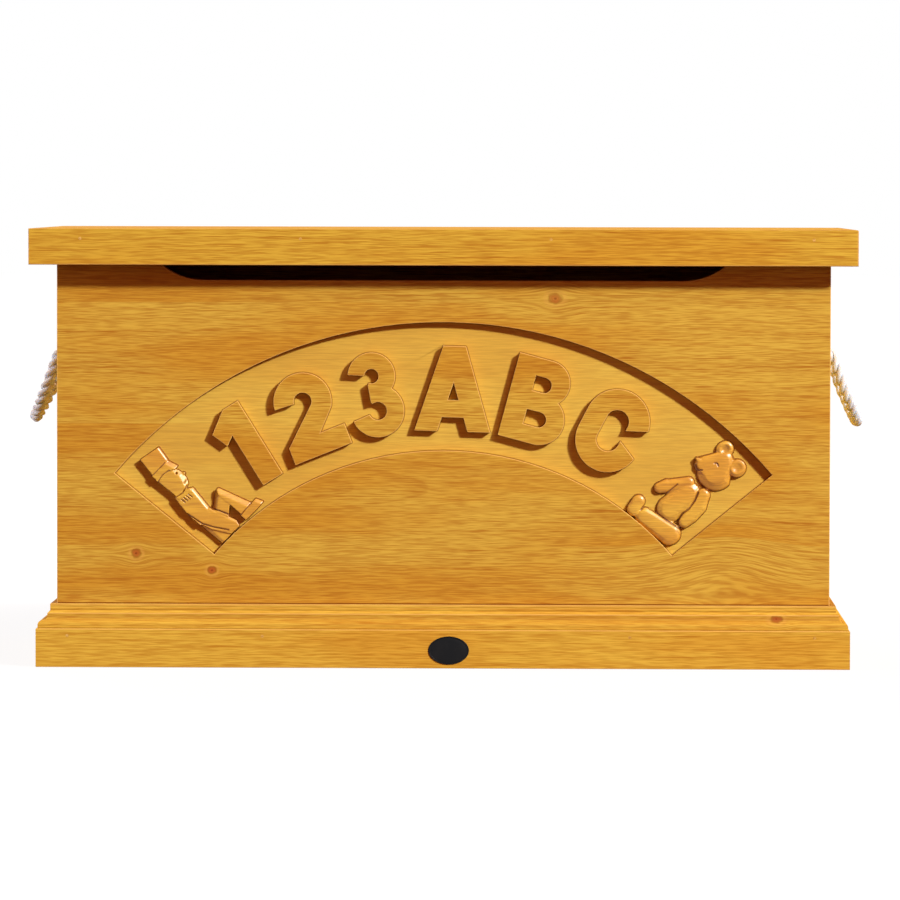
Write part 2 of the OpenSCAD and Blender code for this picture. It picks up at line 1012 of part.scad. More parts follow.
front_panel();
back_panel();
left_side_panel();
right_side_panel();
floor_board();
front_floor_batten();
rear_floor_batten();
left_floor_batten();
right_floor_batten();
front_left_corner_batten();
front_right_corner_batten();
rear_left_corner_batten();
rear_right_corner_batten();
corner_batten_screws();
floor_batten_screws();
floor_screws();
plinth_front();
plinth_left();
plinth_right();
plinth_pins();
plinth_pin_fillers();
badge();
bear_carving();
soldier_carving();
left_hinge_lower_leaf();
right_hinge_lower_leaf();
left_hinge_pin();
right_hinge_pin();
hinge_lower_screws();
left_stay_stud();
right_stay_stud();
stay_stud_screws();
left_rope_ends();
right_rope_ends();
lid_panel();
lid_front_lipping();
lid_left_lipping();
lid_right_lipping();
lipping_pins();
lipping_pin_fillers();
left_hinge_upper_leaf();
right_hinge_upper_leaf();
hinge_upper_screws();
left_stay_bracket();
right_stay_bracket();
left_stay_rivet();
right_stay_rivet();
stay_bracket_screws();
left_stay_arm();
right_stay_arm();
left_rope_handle();
right_rope_handle();
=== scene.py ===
import json
import math

import bmesh
import bpy
from mathutils import Matrix, Vector

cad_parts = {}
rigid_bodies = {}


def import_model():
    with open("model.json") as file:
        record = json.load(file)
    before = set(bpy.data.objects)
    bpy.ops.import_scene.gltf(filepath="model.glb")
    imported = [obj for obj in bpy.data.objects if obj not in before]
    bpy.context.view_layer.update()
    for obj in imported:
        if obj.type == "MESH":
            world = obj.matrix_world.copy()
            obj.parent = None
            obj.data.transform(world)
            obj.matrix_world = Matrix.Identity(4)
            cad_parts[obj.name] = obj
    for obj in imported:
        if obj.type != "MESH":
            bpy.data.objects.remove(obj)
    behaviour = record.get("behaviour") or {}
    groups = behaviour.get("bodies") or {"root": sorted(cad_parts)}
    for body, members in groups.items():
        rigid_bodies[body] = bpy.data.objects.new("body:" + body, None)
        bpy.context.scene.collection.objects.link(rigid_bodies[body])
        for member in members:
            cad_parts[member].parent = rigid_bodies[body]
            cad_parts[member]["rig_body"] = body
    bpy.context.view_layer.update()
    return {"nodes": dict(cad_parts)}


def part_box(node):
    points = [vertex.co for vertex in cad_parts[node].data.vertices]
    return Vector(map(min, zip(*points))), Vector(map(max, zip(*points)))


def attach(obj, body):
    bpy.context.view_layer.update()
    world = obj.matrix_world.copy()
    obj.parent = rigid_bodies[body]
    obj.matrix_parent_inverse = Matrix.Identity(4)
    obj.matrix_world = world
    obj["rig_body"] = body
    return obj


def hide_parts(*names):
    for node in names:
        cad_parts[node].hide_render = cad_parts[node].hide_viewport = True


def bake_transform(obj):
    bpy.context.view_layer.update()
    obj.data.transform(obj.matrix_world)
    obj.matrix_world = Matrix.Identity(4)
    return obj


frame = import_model()

MM = 0.001
body_low, body_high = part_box("front_panel")
FRONT_Y = body_low.y                    # outer face of the front panel
HALF_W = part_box("right_side_panel")[1].x    # outer face of the side panels
SIDE_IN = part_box("right_side_panel")[0].x   # their inner face
LID_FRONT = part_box("lid_front_lipping")[0].y
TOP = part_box("lid_panel")[1].z
PLINTH_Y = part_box("plinth_front")[0].y
GROUND_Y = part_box("bear_carving")[1].y      # sunk ground of the arch
FIGURE_T = GROUND_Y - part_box("bear_carving")[0].y
ARCH_Z = -96 * MM                       # centre of the arch
MID_Y = 10.75 * MM
ROPE_Z = 345 * MM


# ---------- view ----------

def set_camera():
    """Nearly level, a little above the lid, from far off with a long lens."""
    data = bpy.data.cameras.new("view")
    data.sensor_width = 36
    data.lens = 238.8
    data.clip_end = 200
    cam = bpy.data.objects.new("view", data)
    bpy.context.scene.collection.objects.link(cam)
    eye = Vector((0.13, LID_FRONT - 6.57, 0.527))
    aim = Vector((0.0082, LID_FRONT, 0.2420))
    cam.matrix_world = (
        Matrix.Translation(eye)
        @ (aim - eye).to_track_quat("-Z", "Y").to_matrix().to_4x4()
        @ Matrix.Rotation(math.radians(0.13), 4, "Z")
    )
    bpy.context.scene.camera = cam


# ---------- small helpers ----------

def add_piece(name, bm, *finishes):
    """Makes an object of the mesh, with its finishes."""
    mesh = bpy.data.meshes.new(name)
    bm.to_mesh(mesh)
    bm.free()
    for finish in finishes:
        mesh.materials.append(finish)
    piece = bpy.data.objects.new(name, mesh)
    bpy.context.scene.collection.objects.link(piece)
    return piece


def smooth_but_sharp(bm, angle=35):
    """Smooth faces, with the edges that turn more than the angle kept sharp."""
    limit = math.radians(angle)
    for face in bm.faces:
        face.smooth = True
    for edge in bm.edges:
        edge.smooth = len(edge.link_faces) == 2 and edge.calc_face_angle(0) < limit


def body_of(node):
    return frame["nodes"][node]["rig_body"]


# ---------- node helpers ----------

def node(tree, kind, inputs=None, **settings):
    """Adds a shader node; inputs are values or the sockets that feed them."""
    made = tree.nodes.new("ShaderNode" + kind)
    for key, value in settings.items():
        setattr(made, key, value)
    for key, value in (inputs or {}).items():
        socket = made.inputs[key]
        if isinstance(value, bpy.types.NodeSocket):
            tree.links.new(value, socket)
        else:
            socket.default_value = value
    return made


def maths(tree, operation, a, b=0.0, c=0.0, clamp=False):
    return node(tree, "Math", {0: a, 1: b, 2: c}, operation=operation, use_clamp=clamp).outputs[0]


def spread(tree, value, low, high, to_low=0.0, to_high=1.0, smooth=True):
    """Maps a value from one range to another, held at both ends."""
    made = node(
        tree, "MapRange",
        {"Value": value, "From Min": low, "From Max": high, "To Min": to_low, "To Max": to_high},
        interpolation_type="SMOOTHSTEP" if smooth else "LINEAR",
    )
    return made.outputs[0]


def mixed(tree, amount, a, b, blend="MIX"):
    made = node(tree, "Mix", data_type="RGBA", blend_type=blend, clamp_factor=True)
    for key, value in ((0, amount), (6, a), (7, b)):
        if isinstance(value, bpy.types.NodeSocket):
            tree.links.new(value, made.inputs[key])
        elif key == 0:
            made.inputs[0].default_value = value
        else:
            made.inputs[key].default_value = (*value[:3], 1)
    return made.outputs[2]


def scaled(tree, vector, x, y, z, move=(0, 0, 0)):
    return node(tree, "Mapping", {"Vector": vector, "Location": move, "Scale": (x, y, z)}).outputs[0]


def noise(tree, vector, scale=1.0, detail=3.0, rough=0.5, out="Fac"):
    made = node(
        tree, "TexNoise",
        {"Vector": vector, "Scale": scale, "Detail": detail, "Roughness": rough},
    )
    return made.outputs[out]


def new_group(name, inputs, outputs):
    """Shader group with named sockets: {name: default}; a 3-tuple is a vector, a 4-tuple a colour."""
    tree = bpy.data.node_groups.new(name, "ShaderNodeTree")
    kinds = {3: "NodeSocketVector", 4: "NodeSocketColor", 1: "NodeSocketFloat"}
    for label, default in inputs.items():
        size = len(default) if isinstance(default, tuple) else 1
        socket = tree.interface.new_socket(label, in_out="INPUT", socket_type=kinds[size])
        socket.default_value = default
    for label, size in outputs.items():
        tree.interface.new_socket(label, in_out="OUTPUT", socket_type=kinds[size])
    return tree, tree.nodes.new("NodeGroupInput").outputs, tree.nodes.new("NodeGroupOutput")


def use_group(tree, group, inputs=None):
    made = tree.nodes.new("ShaderNodeGroup")
    made.node_tree = group
    for key, value in (inputs or {}).items():
        if isinstance(value, bpy.types.NodeSocket):
            tree.links.new(value, made.inputs[key])
        elif isinstance(value, tuple) and len(made.inputs[key].default_value) == 4:
            made.inputs[key].default_value = (*value[:3], 1)
        else:
            made.inputs[key].default_value = value
    return made.outputs


def new_finish(name, **values):
    """Empty material with its shader and the values that are the same all over."""
    finish = bpy.data.materials.new(name)
    finish.use_nodes = True
    tree = finish.node_tree
    tree.nodes.clear()
    shader = node(tree, "BsdfPrincipled", values)
    out = node(tree, "OutputMaterial")
    tree.links.new(shader.outputs[0], out.inputs["Surface"])
    return finish, tree, shader


def bump(tree, shader, height, distance, strength=1.0):
    made = node(tree, "Bump", {"Height": height, "Distance": distance, "Strength": strength})
    tree.links.new(made.outputs[0], shader.inputs["Normal"])


def place_of(tree, turn=(0, 0, 0), move=(0, 0, 0)):
    """The piece's own coordinates, turned so that the grain runs along X."""
    where = node(tree, "TexCoord").outputs["Object"]
    return node(tree, "Mapping", {"Vector": where, "Rotation": turn, "Location": move}).outputs[0]


# ---------- wood ----------

def make_grain():
    """Flat-sawn pine along X, its heart on that axis: rings, fibres, dark streaks and soft clouds."""
    tree, given, result = new_group(
        "pine grain",
        {
            "Vector": (0.0, 0.0, 0.0),
            "Light": (0.7, 0.4, 0.05, 1.0),
            "Dark": (0.4, 0.15, 0.01, 1.0),
            "Warm": (0.6, 0.2, 0.01, 1.0),
            "Rings": 0.3,
            "Fibres": 0.4,
            "Board": 10.0,
        },
        {"Color": 4, "Height": 1, "Shade": 1},
    )
    parts = node(tree, "SeparateXYZ", {0: given["Vector"]}).outputs
    number = maths(tree, "ROUND", maths(tree, "DIVIDE", parts["Z"], given["Board"]))
    across = maths(tree, "SUBTRACT", parts["Z"], maths(tree, "MULTIPLY", number, given["Board"]))
    chance = node(tree, "TexWhiteNoise", {"W": number}, noise_dimensions="1D").outputs["Value"]
    along = maths(tree, "MULTIPLY_ADD", chance, 5.0, parts["X"])
    deep = maths(tree, "MULTIPLY_ADD", chance, -0.03, parts["Y"])
    at = node(tree, "CombineXYZ", {"X": along, "Y": deep, "Z": across}).outputs[0]

    sway = noise(tree, scaled(tree, at, 1.3, 3, 4), detail=2.0)
    ripple = noise(tree, scaled(tree, at, 9, 30, 40), detail=2.0)
    square = maths(tree, "ADD", maths(tree, "MULTIPLY", deep, deep), maths(tree, "MULTIPLY", across, across))
    reach = maths(tree, "MULTIPLY_ADD", sway, 0.040, maths(tree, "SQRT", square))
    reach = maths(tree, "MULTIPLY_ADD", ripple, 0.0024, reach)
    wave = maths(tree, "FRACT", maths(tree, "MULTIPLY", reach, 230.0))
    ring = maths(tree, "MULTIPLY", spread(tree, wave, 0.55, 0.94), spread(tree, wave, 1.0, 0.95))
    patchy = spread(tree, noise(tree, scaled(tree, at, 3.5, 12, 22, (4, 2, 1)), detail=2.0), 0.35, 0.65)
    ring = maths(tree, "MULTIPLY", ring, maths(tree, "MULTIPLY_ADD", patchy, 0.8, 0.2))

    fine = noise(tree, scaled(tree, at, 44, 900, 900), detail=1.0)
    middle = noise(tree, scaled(tree, at, 18, 380, 380, (5, 2, 1)), detail=1.0)
    long_fine = noise(tree, scaled(tree, at, 6, 120, 120, (3, 3, 3)), detail=2.0, rough=0.55)
    fibre = maths(tree, "MULTIPLY_ADD", fine, 0.72, maths(tree, "MULTIPLY", middle, 0.15))
    fibre = maths(tree, "MULTIPLY_ADD", long_fine, 0.13, fibre)
    fibre = spread(tree, fibre, 0.42, 0.58, smooth=False)
    streak = spread(tree, noise(tree, scaled(tree, at, 20, 700, 700, (1, 6, 2)), detail=0.0), 0.60, 0.70)
    long_streak = spread(tree, noise(tree, scaled(tree, at, 6, 480, 480, (2, 9, 4)), detail=0.0), 0.64, 0.74)
    line = maths(tree, "MULTIPLY_ADD", maths(tree, "MAXIMUM", maths(tree, "MULTIPLY", streak, 0.5), long_streak), 0.55, fibre)
    shade = maths(tree, "MULTIPLY", ring, given["Rings"])
    shade = maths(tree, "MULTIPLY_ADD", line, given["Fibres"], shade, clamp=True)

    cloud = noise(tree, scaled(tree, at, 3.2, 8, 17, (7, 1, 5)), detail=3.0)
    colour = mixed(tree, maths(tree, "MULTIPLY", spread(tree, cloud, 0.38, 0.66), 0.9), given["Light"], given["Warm"])
    colour = mixed(tree, shade, colour, given["Dark"])
    tree.links.new(colour, result.inputs["Color"])
    height = maths(tree, "SUBTRACT", 1.0, maths(tree, "MULTIPLY_ADD", fibre, 0.75, maths(tree, "MULTIPLY", ring, 0.25)))
    tree.links.new(height, result.inputs["Height"])
    tree.links.new(shade, result.inputs["Shade"])
    return tree


def make_knot():
    """A knot: bends the grain round its centre and gives its red core, dark rim and pale surround."""
    tree, given, result = new_group(
        "knot",
        {
            "Vector": (0.0, 0.0, 0.0), "Centre": (0.0, 0.0, 0.0), "Radius": 0.005, "Long": 1.0, "Core": 1.0,
            "Red": 0.0, "Rim": 0.0, "Pale": 0.0,
        },
        {"Vector": 3, "Red": 1, "Rim": 1, "Pale": 1},
    )
    away = node(tree, "VectorMath", {0: given["Vector"], 1: given["Centre"]}, operation="SUBTRACT").outputs[0]
    parts = node(tree, "SeparateXYZ", {0: away}).outputs
    x = maths(tree, "DIVIDE", parts["X"], maths(tree, "MULTIPLY", given["Radius"], given["Long"]))
    z = maths(tree, "DIVIDE", parts["Z"], given["Radius"])
    square = maths(tree, "ADD", maths(tree, "MULTIPLY", x, x), maths(tree, "MULTIPLY", z, z))
    uneven = noise(tree, given["Vector"], 260.0, 2.0)
    d = maths(tree, "ADD", maths(tree, "SQRT", square), maths(tree, "MULTIPLY_ADD", uneven, 0.6, -0.3))
    pull = maths(tree, "EXPONENT", maths(tree, "MULTIPLY", square, -0.09))
    shift = maths(tree, "MULTIPLY", maths(tree, "MULTIPLY", parts["Z"], pull), -0.8)
    moved = node(tree, "CombineXYZ", {"Z": shift}).outputs[0]
    bent = node(tree, "VectorMath", {0: given["Vector"], 1: moved}, operation="ADD").outputs[0]
    tree.links.new(bent, result.inputs["Vector"])

    core = spread(tree, d, 1.3, 0.45)
    rings = maths(tree, "MULTIPLY_ADD", maths(tree, "SINE", maths(tree, "MULTIPLY", d, 15.0)), 0.10, 0.10)
    edge = maths(tree, "MULTIPLY", spread(tree, d, 0.4, 0.9), spread(tree, d, 1.45, 0.95))
    pith = spread(tree, d, 0.42, 0.1)
    dark = maths(tree, "MULTIPLY_ADD", core, rings, maths(tree, "MULTIPLY", edge, 0.4))
    dark = maths(tree, "MULTIPLY_ADD", pith, 0.6, dark)
    pale = maths(tree, "MULTIPLY", spread(tree, d, 1.1, 1.4), spread(tree, d, 2.3, 1.5))
    for label, value in (("Red", core), ("Rim", dark), ("Pale", pale)):
        value = maths(tree, "MULTIPLY", value, given["Core"])
        tree.links.new(maths(tree, "MAXIMUM", given[label], value), result.inputs[label])
    return tree


def make_surface():
    """What lies over the grain: knots, the paler sunk ground, stain with painted shade in corners, creases and grooves,
    worn edges with painted highlights, and the varnish's shine.
    """
    tree, given, result = new_group(
        "pine surface",
        {"Color": (0.7, 0.4, 0.05, 1.0), "Shade": 0.0, "Red": 0.0, "Rim": 0.0, "Pale": 0.0, "Gloss": 0.42},
        {"Color": 4, "Roughness": 1},
    )
    sunk = node(tree, "Attribute", attribute_name="sunk_ground").outputs["Fac"]
    stain_and_shade = node(tree, "Attribute", attribute_name="stain_and_painted_shade").outputs["Fac"]
    worn = node(tree, "Attribute", attribute_name="edge_wear_and_highlight").outputs["Fac"]
    colour = mixed(tree, maths(tree, "MULTIPLY", sunk, 0.42), given["Color"], (0.96, 0.69, 0.12))
    colour = mixed(tree, maths(tree, "MULTIPLY", given["Pale"], 0.35), colour, (0.86, 0.47, 0.09))
    colour = mixed(tree, maths(tree, "MULTIPLY", given["Red"], 0.85), colour, (0.56, 0.130, 0.020))
    colour = mixed(tree, given["Rim"], colour, (0.26, 0.050, 0.006))
    # stain and painted shade, darkest in inner corners, creases, grooves and the steep sides of the carving
    colour = mixed(tree, maths(tree, "MULTIPLY", stain_and_shade, 0.9), colour, (0.15, 0.024, 0.001))
    # paler eased edges and moulding lines: wear and painted highlights; the worn mask carries both
    colour = mixed(tree, maths(tree, "MULTIPLY", worn, 0.6), colour, (0.86, 0.52, 0.14))
    tree.links.new(colour, result.inputs["Color"])

    smear = noise(tree, scaled(tree, place_of(tree), 30, 30, 30), detail=2.0)
    rough = maths(tree, "MULTIPLY_ADD", given["Shade"], 0.15, given["Gloss"])
    rough = maths(tree, "ADD", rough, maths(tree, "MULTIPLY", smear, 0.06))
    rough = maths(tree, "SUBTRACT", rough, maths(tree, "MULTIPLY", worn, 0.10))
    # faces that look up are dull, since things are put down and wiped there
    up = node(tree, "SeparateXYZ", {0: node(tree, "TexCoord").outputs["Normal"]}).outputs["Z"]
    rough = maths(tree, "MAXIMUM", rough, maths(tree, "MULTIPLY", spread(tree, up, 0.3, 0.8), 0.95))
    tree.links.new(rough, result.inputs["Roughness"])
    return tree


GRAIN = make_grain()
KNOT = make_knot()
SURFACE = make_surface()
TO_DEPTH = (0, 0, math.radians(90))      # grain along the depth of the box
UPRIGHT = (0, math.radians(90), 0)       # grain up the box
FLAT = (math.radians(90), 0, 0)          # broad face up, as on a lid

HONEY = {"Light": (0.80, 0.510, 0.066), "Dark": (0.46, 0.155, 0.008), "Warm": (0.71, 0.350, 0.030)}
GOLD = {"Light": (0.82, 0.520, 0.054), "Dark": (0.48, 0.175, 0.008), "Warm": (0.76, 0.390, 0.032)}
PLINTH = {"Light": (0.90, 0.575, 0.068), "Dark": (0.56, 0.225, 0.012), "Warm": (0.84, 0.445, 0.044)}
CARVED = {"Light": (0.90, 0.540, 0.048), "Dark": (0.44, 0.150, 0.005), "Warm": (0.80, 0.370, 0.022)}
BARE = {"Light": (0.80, 0.56, 0.28), "Dark": (0.55, 0.31, 0.11), "Warm": (0.72, 0.44, 0.17)}
HEART = 70 * MM                          # from a board's face back to the heart of its tree


def pine(
    name, colours, turn=(0, 0, 0), move=(0, 0, 0), rings=0.3, fibres=0.55, board=10.0, knots=(), gloss=0.42,
    shine=0.16, **values,
):
    """Pine board. Knots are (x, y, z, radius, length over height, core) in the piece's own place."""
    finish, tree, shader = new_finish(name, **{"Specular IOR Level": shine}, **values)
    where = place_of(tree)
    knot = {"Vector": where}
    for x, y, z, radius, long, core in knots:
        given = {label: knot[label] for label in ("Red", "Rim", "Pale") if label in knot}
        given |= {"Vector": knot["Vector"], "Centre": (x, y, z), "Radius": radius, "Long": long, "Core": core}
        made = use_group(tree, KNOT, given)
        knot = {label: made[label] for label in ("Vector", "Red", "Rim", "Pale")}
    along = node(tree, "Mapping", {"Vector": knot["Vector"], "Rotation": turn, "Location": move}).outputs[0]
    grain = use_group(tree, GRAIN, {"Vector": along, "Rings": rings, "Fibres": fibres, "Board": board, **colours})
    over = {"Color": grain["Color"], "Shade": grain["Shade"], "Gloss": gloss}
    over |= {label: knot[label] for label in ("Red", "Rim", "Pale") if label in knot}
    surface = use_group(tree, SURFACE, over)
    tree.links.new(surface["Color"], shader.inputs["Base Color"])
    tree.links.new(surface["Roughness"], shader.inputs["Roughness"])
    bump(tree, shader, grain["Height"], 0.00005)
    return finish


def make_filler():
    """Wood filler rubbed over the pins: paler, speckled, without grain."""
    finish, tree, shader = new_finish("wood filler", **{"Specular IOR Level": 0.3})
    where = place_of(tree)
    speck = spread(tree, noise(tree, where, 900.0, 3.0), 0.35, 0.7)
    tone = spread(tree, noise(tree, where, 6.0, 1.0), 0.35, 0.65)
    pale = mixed(tree, tone, (0.90, 0.60, 0.16), (0.80, 0.46, 0.08))
    tree.links.new(mixed(tree, speck, pale, (0.56, 0.24, 0.03)), shader.inputs["Base Color"])
    tree.links.new(spread(tree, speck, 0, 1, 0.5, 0.65), shader.inputs["Roughness"])
    bump(tree, shader, speck, 0.0001)
    return finish


def make_scratches():
    """Fine handling marks and dust for metal and enamel."""
    tree, given, result = new_group(
        "handling marks", {"Vector": (0.0, 0.0, 0.0), "Size": 1.0}, {"Marks": 1, "Grime": 1}
    )
    at = given["Vector"]
    lines = noise(tree, scaled(tree, at, 120, 2600, 2600), given["Size"], 2.0)
    across = noise(tree, scaled(tree, at, 1900, 260, 150, (2, 5, 1)), given["Size"], 2.0)
    marks = maths(tree, "MAXIMUM", spread(tree, lines, 0.55, 0.75), spread(tree, across, 0.6, 0.8))
    tree.links.new(marks, result.inputs["Marks"])
    grime = spread(tree, noise(tree, scaled(tree, at, 90, 90, 90), given["Size"], 4.0), 0.45, 0.75)
    tree.links.new(grime, result.inputs["Grime"])
    return tree


MARKS = make_scratches()


def make_metal(name, clean, worn, rough, metallic=1.0):
    """Plated or rolled metal with scratches and a little tarnish."""
    finish, tree, shader = new_finish(name, Metallic=metallic)
    marks = use_group(tree, MARKS, {"Vector": place_of(tree), "Size": 1.0})
    colour = mixed(tree, maths(tree, "MULTIPLY", marks["Grime"], 0.6), clean, worn)
    tree.links.new(colour, shader.inputs["Base Color"])
    base = maths(tree, "MULTIPLY_ADD", marks["Grime"], 0.18, rough)
    tree.links.new(maths(tree, "ADD", base, maths(tree, "MULTIPLY", marks["Marks"], 0.12)), shader.inputs["Roughness"])
    bump(tree, shader, marks["Marks"], 0.00002)
    return finish


def make_enamel():
    """Glossy black resin of the oval badge."""
    finish, tree, shader = new_finish("black enamel", **{"Specular IOR Level": 0.12, "Coat Weight": 0.08})
    marks = use_group(tree, MARKS, {"Vector": place_of(tree), "Size": 0.7})
    colour = mixed(tree, maths(tree, "MULTIPLY", marks["Grime"], 0.5), (0.004, 0.004, 0.005), (0.012, 0.011, 0.011))
    tree.links.new(colour, shader.inputs["Base Color"])
    tree.links.new(maths(tree, "MULTIPLY_ADD", marks["Marks"], 0.2, 0.32), shader.inputs["Roughness"])
    bump(tree, shader, marks["Marks"], 0.00001)
    return finish


def make_cotton():
    """Cotton rope strands: yarns that run back across the lay with painted shade between them, fuzz and a little dust.
    """
    finish, tree, shader = new_finish(
        "cotton rope", Roughness=0.9,
        **{
            "Specular IOR Level": 0.15, "Sheen Weight": 0.35, "Sheen Roughness": 0.5,
            "Subsurface Weight": 0.8, "Subsurface Radius": (0.7, 0.85, 1.0), "Subsurface Scale": 8 * MM,
        },
    )
    uv = node(tree, "UVMap", uv_map="lay").outputs[0]
    parts = node(tree, "SeparateXYZ", {0: uv}).outputs
    fuzz = noise(tree, place_of(tree), 900.0, 4.0, 0.6)
    turn = maths(tree, "MULTIPLY_ADD", parts["X"], 9.0, maths(tree, "MULTIPLY", parts["Y"], -62.0))
    turn = maths(tree, "ADD", turn, maths(tree, "MULTIPLY", fuzz, 0.5))
    yarn = maths(tree, "ABSOLUTE", maths(tree, "SINE", maths(tree, "MULTIPLY", turn, math.pi)))
    yarn = maths(tree, "POWER", yarn, 0.6)
    pale = mixed(tree, spread(tree, noise(tree, place_of(tree), 45.0, 3.0), 0.35, 0.7), (0.80, 0.87, 0.95), (0.72, 0.79, 0.87))
    # darker between the yarns: painted shade
    colour = mixed(tree, spread(tree, yarn, 0.55, 0.1), pale, (0.56, 0.60, 0.64))
    speck = spread(tree, fuzz, 0.62, 0.78)
    colour = mixed(tree, maths(tree, "MULTIPLY", speck, 0.3), colour, (0.94, 0.93, 0.9))
    tree.links.new(colour, shader.inputs["Base Color"])
    bump(tree, shader, maths(tree, "MULTIPLY_ADD", fuzz, 0.25, yarn), 0.0004)
    return finish


# ---------- rope handles ----------

# Half of a handle: out from the panel, along it from the middle, down from the hole
HALF_LOOP = [
    (-19, 55, 0), (-9, 55, 0), (0, 55, -0.2), (7, 55, 1.2), (11.5, 55, 7), (14.5, 55, 15), (17.5, 54, 24),
    (21, 52, 34), (25, 48, 45), (29, 42, 54), (32.5, 33, 63), (36, 22, 71), (38.5, 11, 76.5), (39.5, 0, 78.5),
]
ROPE_D = 14 * MM


def handle_route(side):
    """The left handle stands out a little more than the right one."""
    wide, deep = (1.05, 0.965) if side < 0 else (1.0, 1.0)
    whole = HALF_LOOP + [(out, -along, down) for out, along, down in reversed(HALF_LOOP[:-1])]
    return [
        Vector((side * (HALF_W + out * wide * MM), MID_Y + along * MM, ROPE_Z - down * deep * MM))
        for out, along, down in whole
    ]


def knot_route(side, way):
    """Stopper knot behind the panel: out of the hole, once round itself, and the end hanging down."""
    points = [(19, 0, 0), (25, 0, 0), (33, 2, 1), (40, 8, 2)]
    for step in range(1, 9):
        a = math.radians(25 + 45 * step)
        points.append((41 - 2.6 * step, 12.5 * math.cos(a), 12.5 * math.sin(a)))
    points += [(20.5, 13, -14), (27.5, 8, -24), (28.5, 7.5, -34), (28, 7, -46)]
    return [
        Vector((side * (HALF_W - a * MM), MID_Y + way * 55 * MM + way * b * MM, ROPE_Z + c * MM))
        for a, b, c in points
    ]


def even_steps(points, step):
    """Points an equal step apart on a smooth line through the given ones."""
    fine = []
    for i in range(len(points) - 1):
        before, here = points[max(i - 1, 0)], points[i]
        there, after = points[i + 1], points[min(i + 2, len(points) - 1)]
        for k in range(24):
            t = k / 24
            fine.append(0.5 * (
                2 * here + (there - before) * t + (2 * before - 5 * here + 4 * there - after) * t * t
                + (3 * here - before - 3 * there + after) * t ** 3
            ))
    fine.append(points[-1])
    total = sum((b - a).length for a, b in zip(fine, fine[1:]))
    count = max(2, round(total / step))
    line, gone, k = [fine[0]], 0.0, 0
    for i in range(1, count):
        want = total * i / count
        while gone + (fine[k + 1] - fine[k]).length < want:
            gone += (fine[k + 1] - fine[k]).length
            k += 1
        line.append(fine[k].lerp(fine[k + 1], (want - gone) / (fine[k + 1] - fine[k]).length))
    return line + [fine[-1]]


def laid_rope(name, line, width, finish, lay=38 * MM, sides=12, start_turn=0.0):
    """Three strands laid right-handed along a line, each a closed tube."""
    bm = bmesh.new()
    ring_of = bm.verts.layers.int.new("ring")
    side_of = bm.verts.layers.int.new("side")
    strand = width / 2 * 0.4641
    for k in range(3):
        spot = Matrix.Rotation(k * math.tau / 3, 4, "Z") @ Matrix.Translation((strand * 1.04, 0, 0))
        made = bmesh.ops.create_circle(bm, cap_ends=True, segments=sides, radius=strand * 1.11, matrix=spot)
        for i, vert in enumerate(made["verts"]):
            vert[side_of] = i
    facing = (line[1] - line[0]).to_track_quat("Z", "Y")
    place = Matrix.LocRotScale(line[0], facing, None) @ Matrix.Rotation(start_turn, 4, "Z")
    bmesh.ops.transform(bm, matrix=place, verts=bm.verts)
    edges = list(bm.edges)
    gone = 0.0
    for i in range(1, len(line)):
        gone += (line[i] - line[i - 1]).length
        ahead = line[min(i + 1, len(line) - 1)] - line[i - 1]
        swing = (facing @ Vector((0, 0, 1))).rotation_difference(ahead)
        facing = swing @ facing
        turn = Matrix.Rotation(start_turn + gone / lay * math.tau, 4, "Z")
        now = Matrix.LocRotScale(line[i], facing, None) @ turn
        grown = bmesh.ops.extrude_edge_only(bm, edges=edges)["geom"]
        fresh = [g for g in grown if isinstance(g, bmesh.types.BMVert)]
        edges = [g for g in grown if isinstance(g, bmesh.types.BMEdge)]
        own = set(fresh)
        edges = [e for e in edges if e.verts[0] in own and e.verts[1] in own]
        bmesh.ops.transform(bm, matrix=now @ place.inverted(), verts=fresh)
        for vert in fresh:
            vert[ring_of] = i
        place = now
    bmesh.ops.holes_fill(bm, edges=edges, sides=0)
    bmesh.ops.recalc_face_normals(bm, faces=bm.faces)
    uv = bm.loops.layers.uv.new("lay")
    step = gone / (len(line) - 1)
    for face in bm.faces:
        wraps = {loop.vert[side_of] for loop in face.loops} == {0, sides - 1}
        for loop in face.loops:
            side = loop.vert[side_of]
            side += sides if wraps and side == 0 else 0
            loop[uv].uv = (side / sides, loop.vert[ring_of] * step)
    smooth_but_sharp(bm, 50)
    return add_piece(name, bm, finish)


def make_ropes(finish):
    for side, word in ((-1, "left"), (1, "right")):
        line = even_steps(handle_route(side), 1.1 * MM)
        rope = laid_rope(word + "_rope_laid", line, ROPE_D, finish, start_turn=0.4 * side)
        for way, end in ((-1, "front"), (1, "rear")):
            route = even_steps(knot_route(side, way), 1.3 * MM)
            knot = laid_rope(f"{word}_{end}_rope_knot", route, 13.4 * MM, finish)
            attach(knot, "carcass")
        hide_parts(word + "_rope_ends")
        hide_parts(word + "_rope_handle")
        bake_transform(rope)


# ---------- boards and hardware with eased edges ----------

def turns_tightly(edge, sharp, radius):
    """True where the edge is part of a small round hole or boss."""
    for vert in edge.verts:
        for other in vert.link_edges:
            if other is edge or other not in sharp:
                continue
            a = edge.other_vert(vert).co - vert.co
            b = vert.co - other.other_vert(vert).co
            turn = a.angle(b, 0)
            turn = min(turn, math.pi - turn)
            if 0.02 < turn < 0.75 and (a.length + b.length) / 2 / turn < radius:
                return True
    return False


def span(face, edge):
    """How far a face reaches away from one of its edges."""
    a, b = (v.co for v in edge.verts)
    along = (b - a).normalized()
    return max(((v.co - a) - along * (v.co - a).dot(along)).length for v in face.verts)


def pool_stain_and_shade(bm, creases, stain_and_shade):
    """Stain and painted shade in the narrow faces beside an inner corner."""
    for edge in creases:
        for face in edge.link_faces:
            if span(face, edge) < 3.2 * MM:
                for loop in face.loops:
                    if loop.vert in edge.verts:
                        loop[stain_and_shade] = 1.0


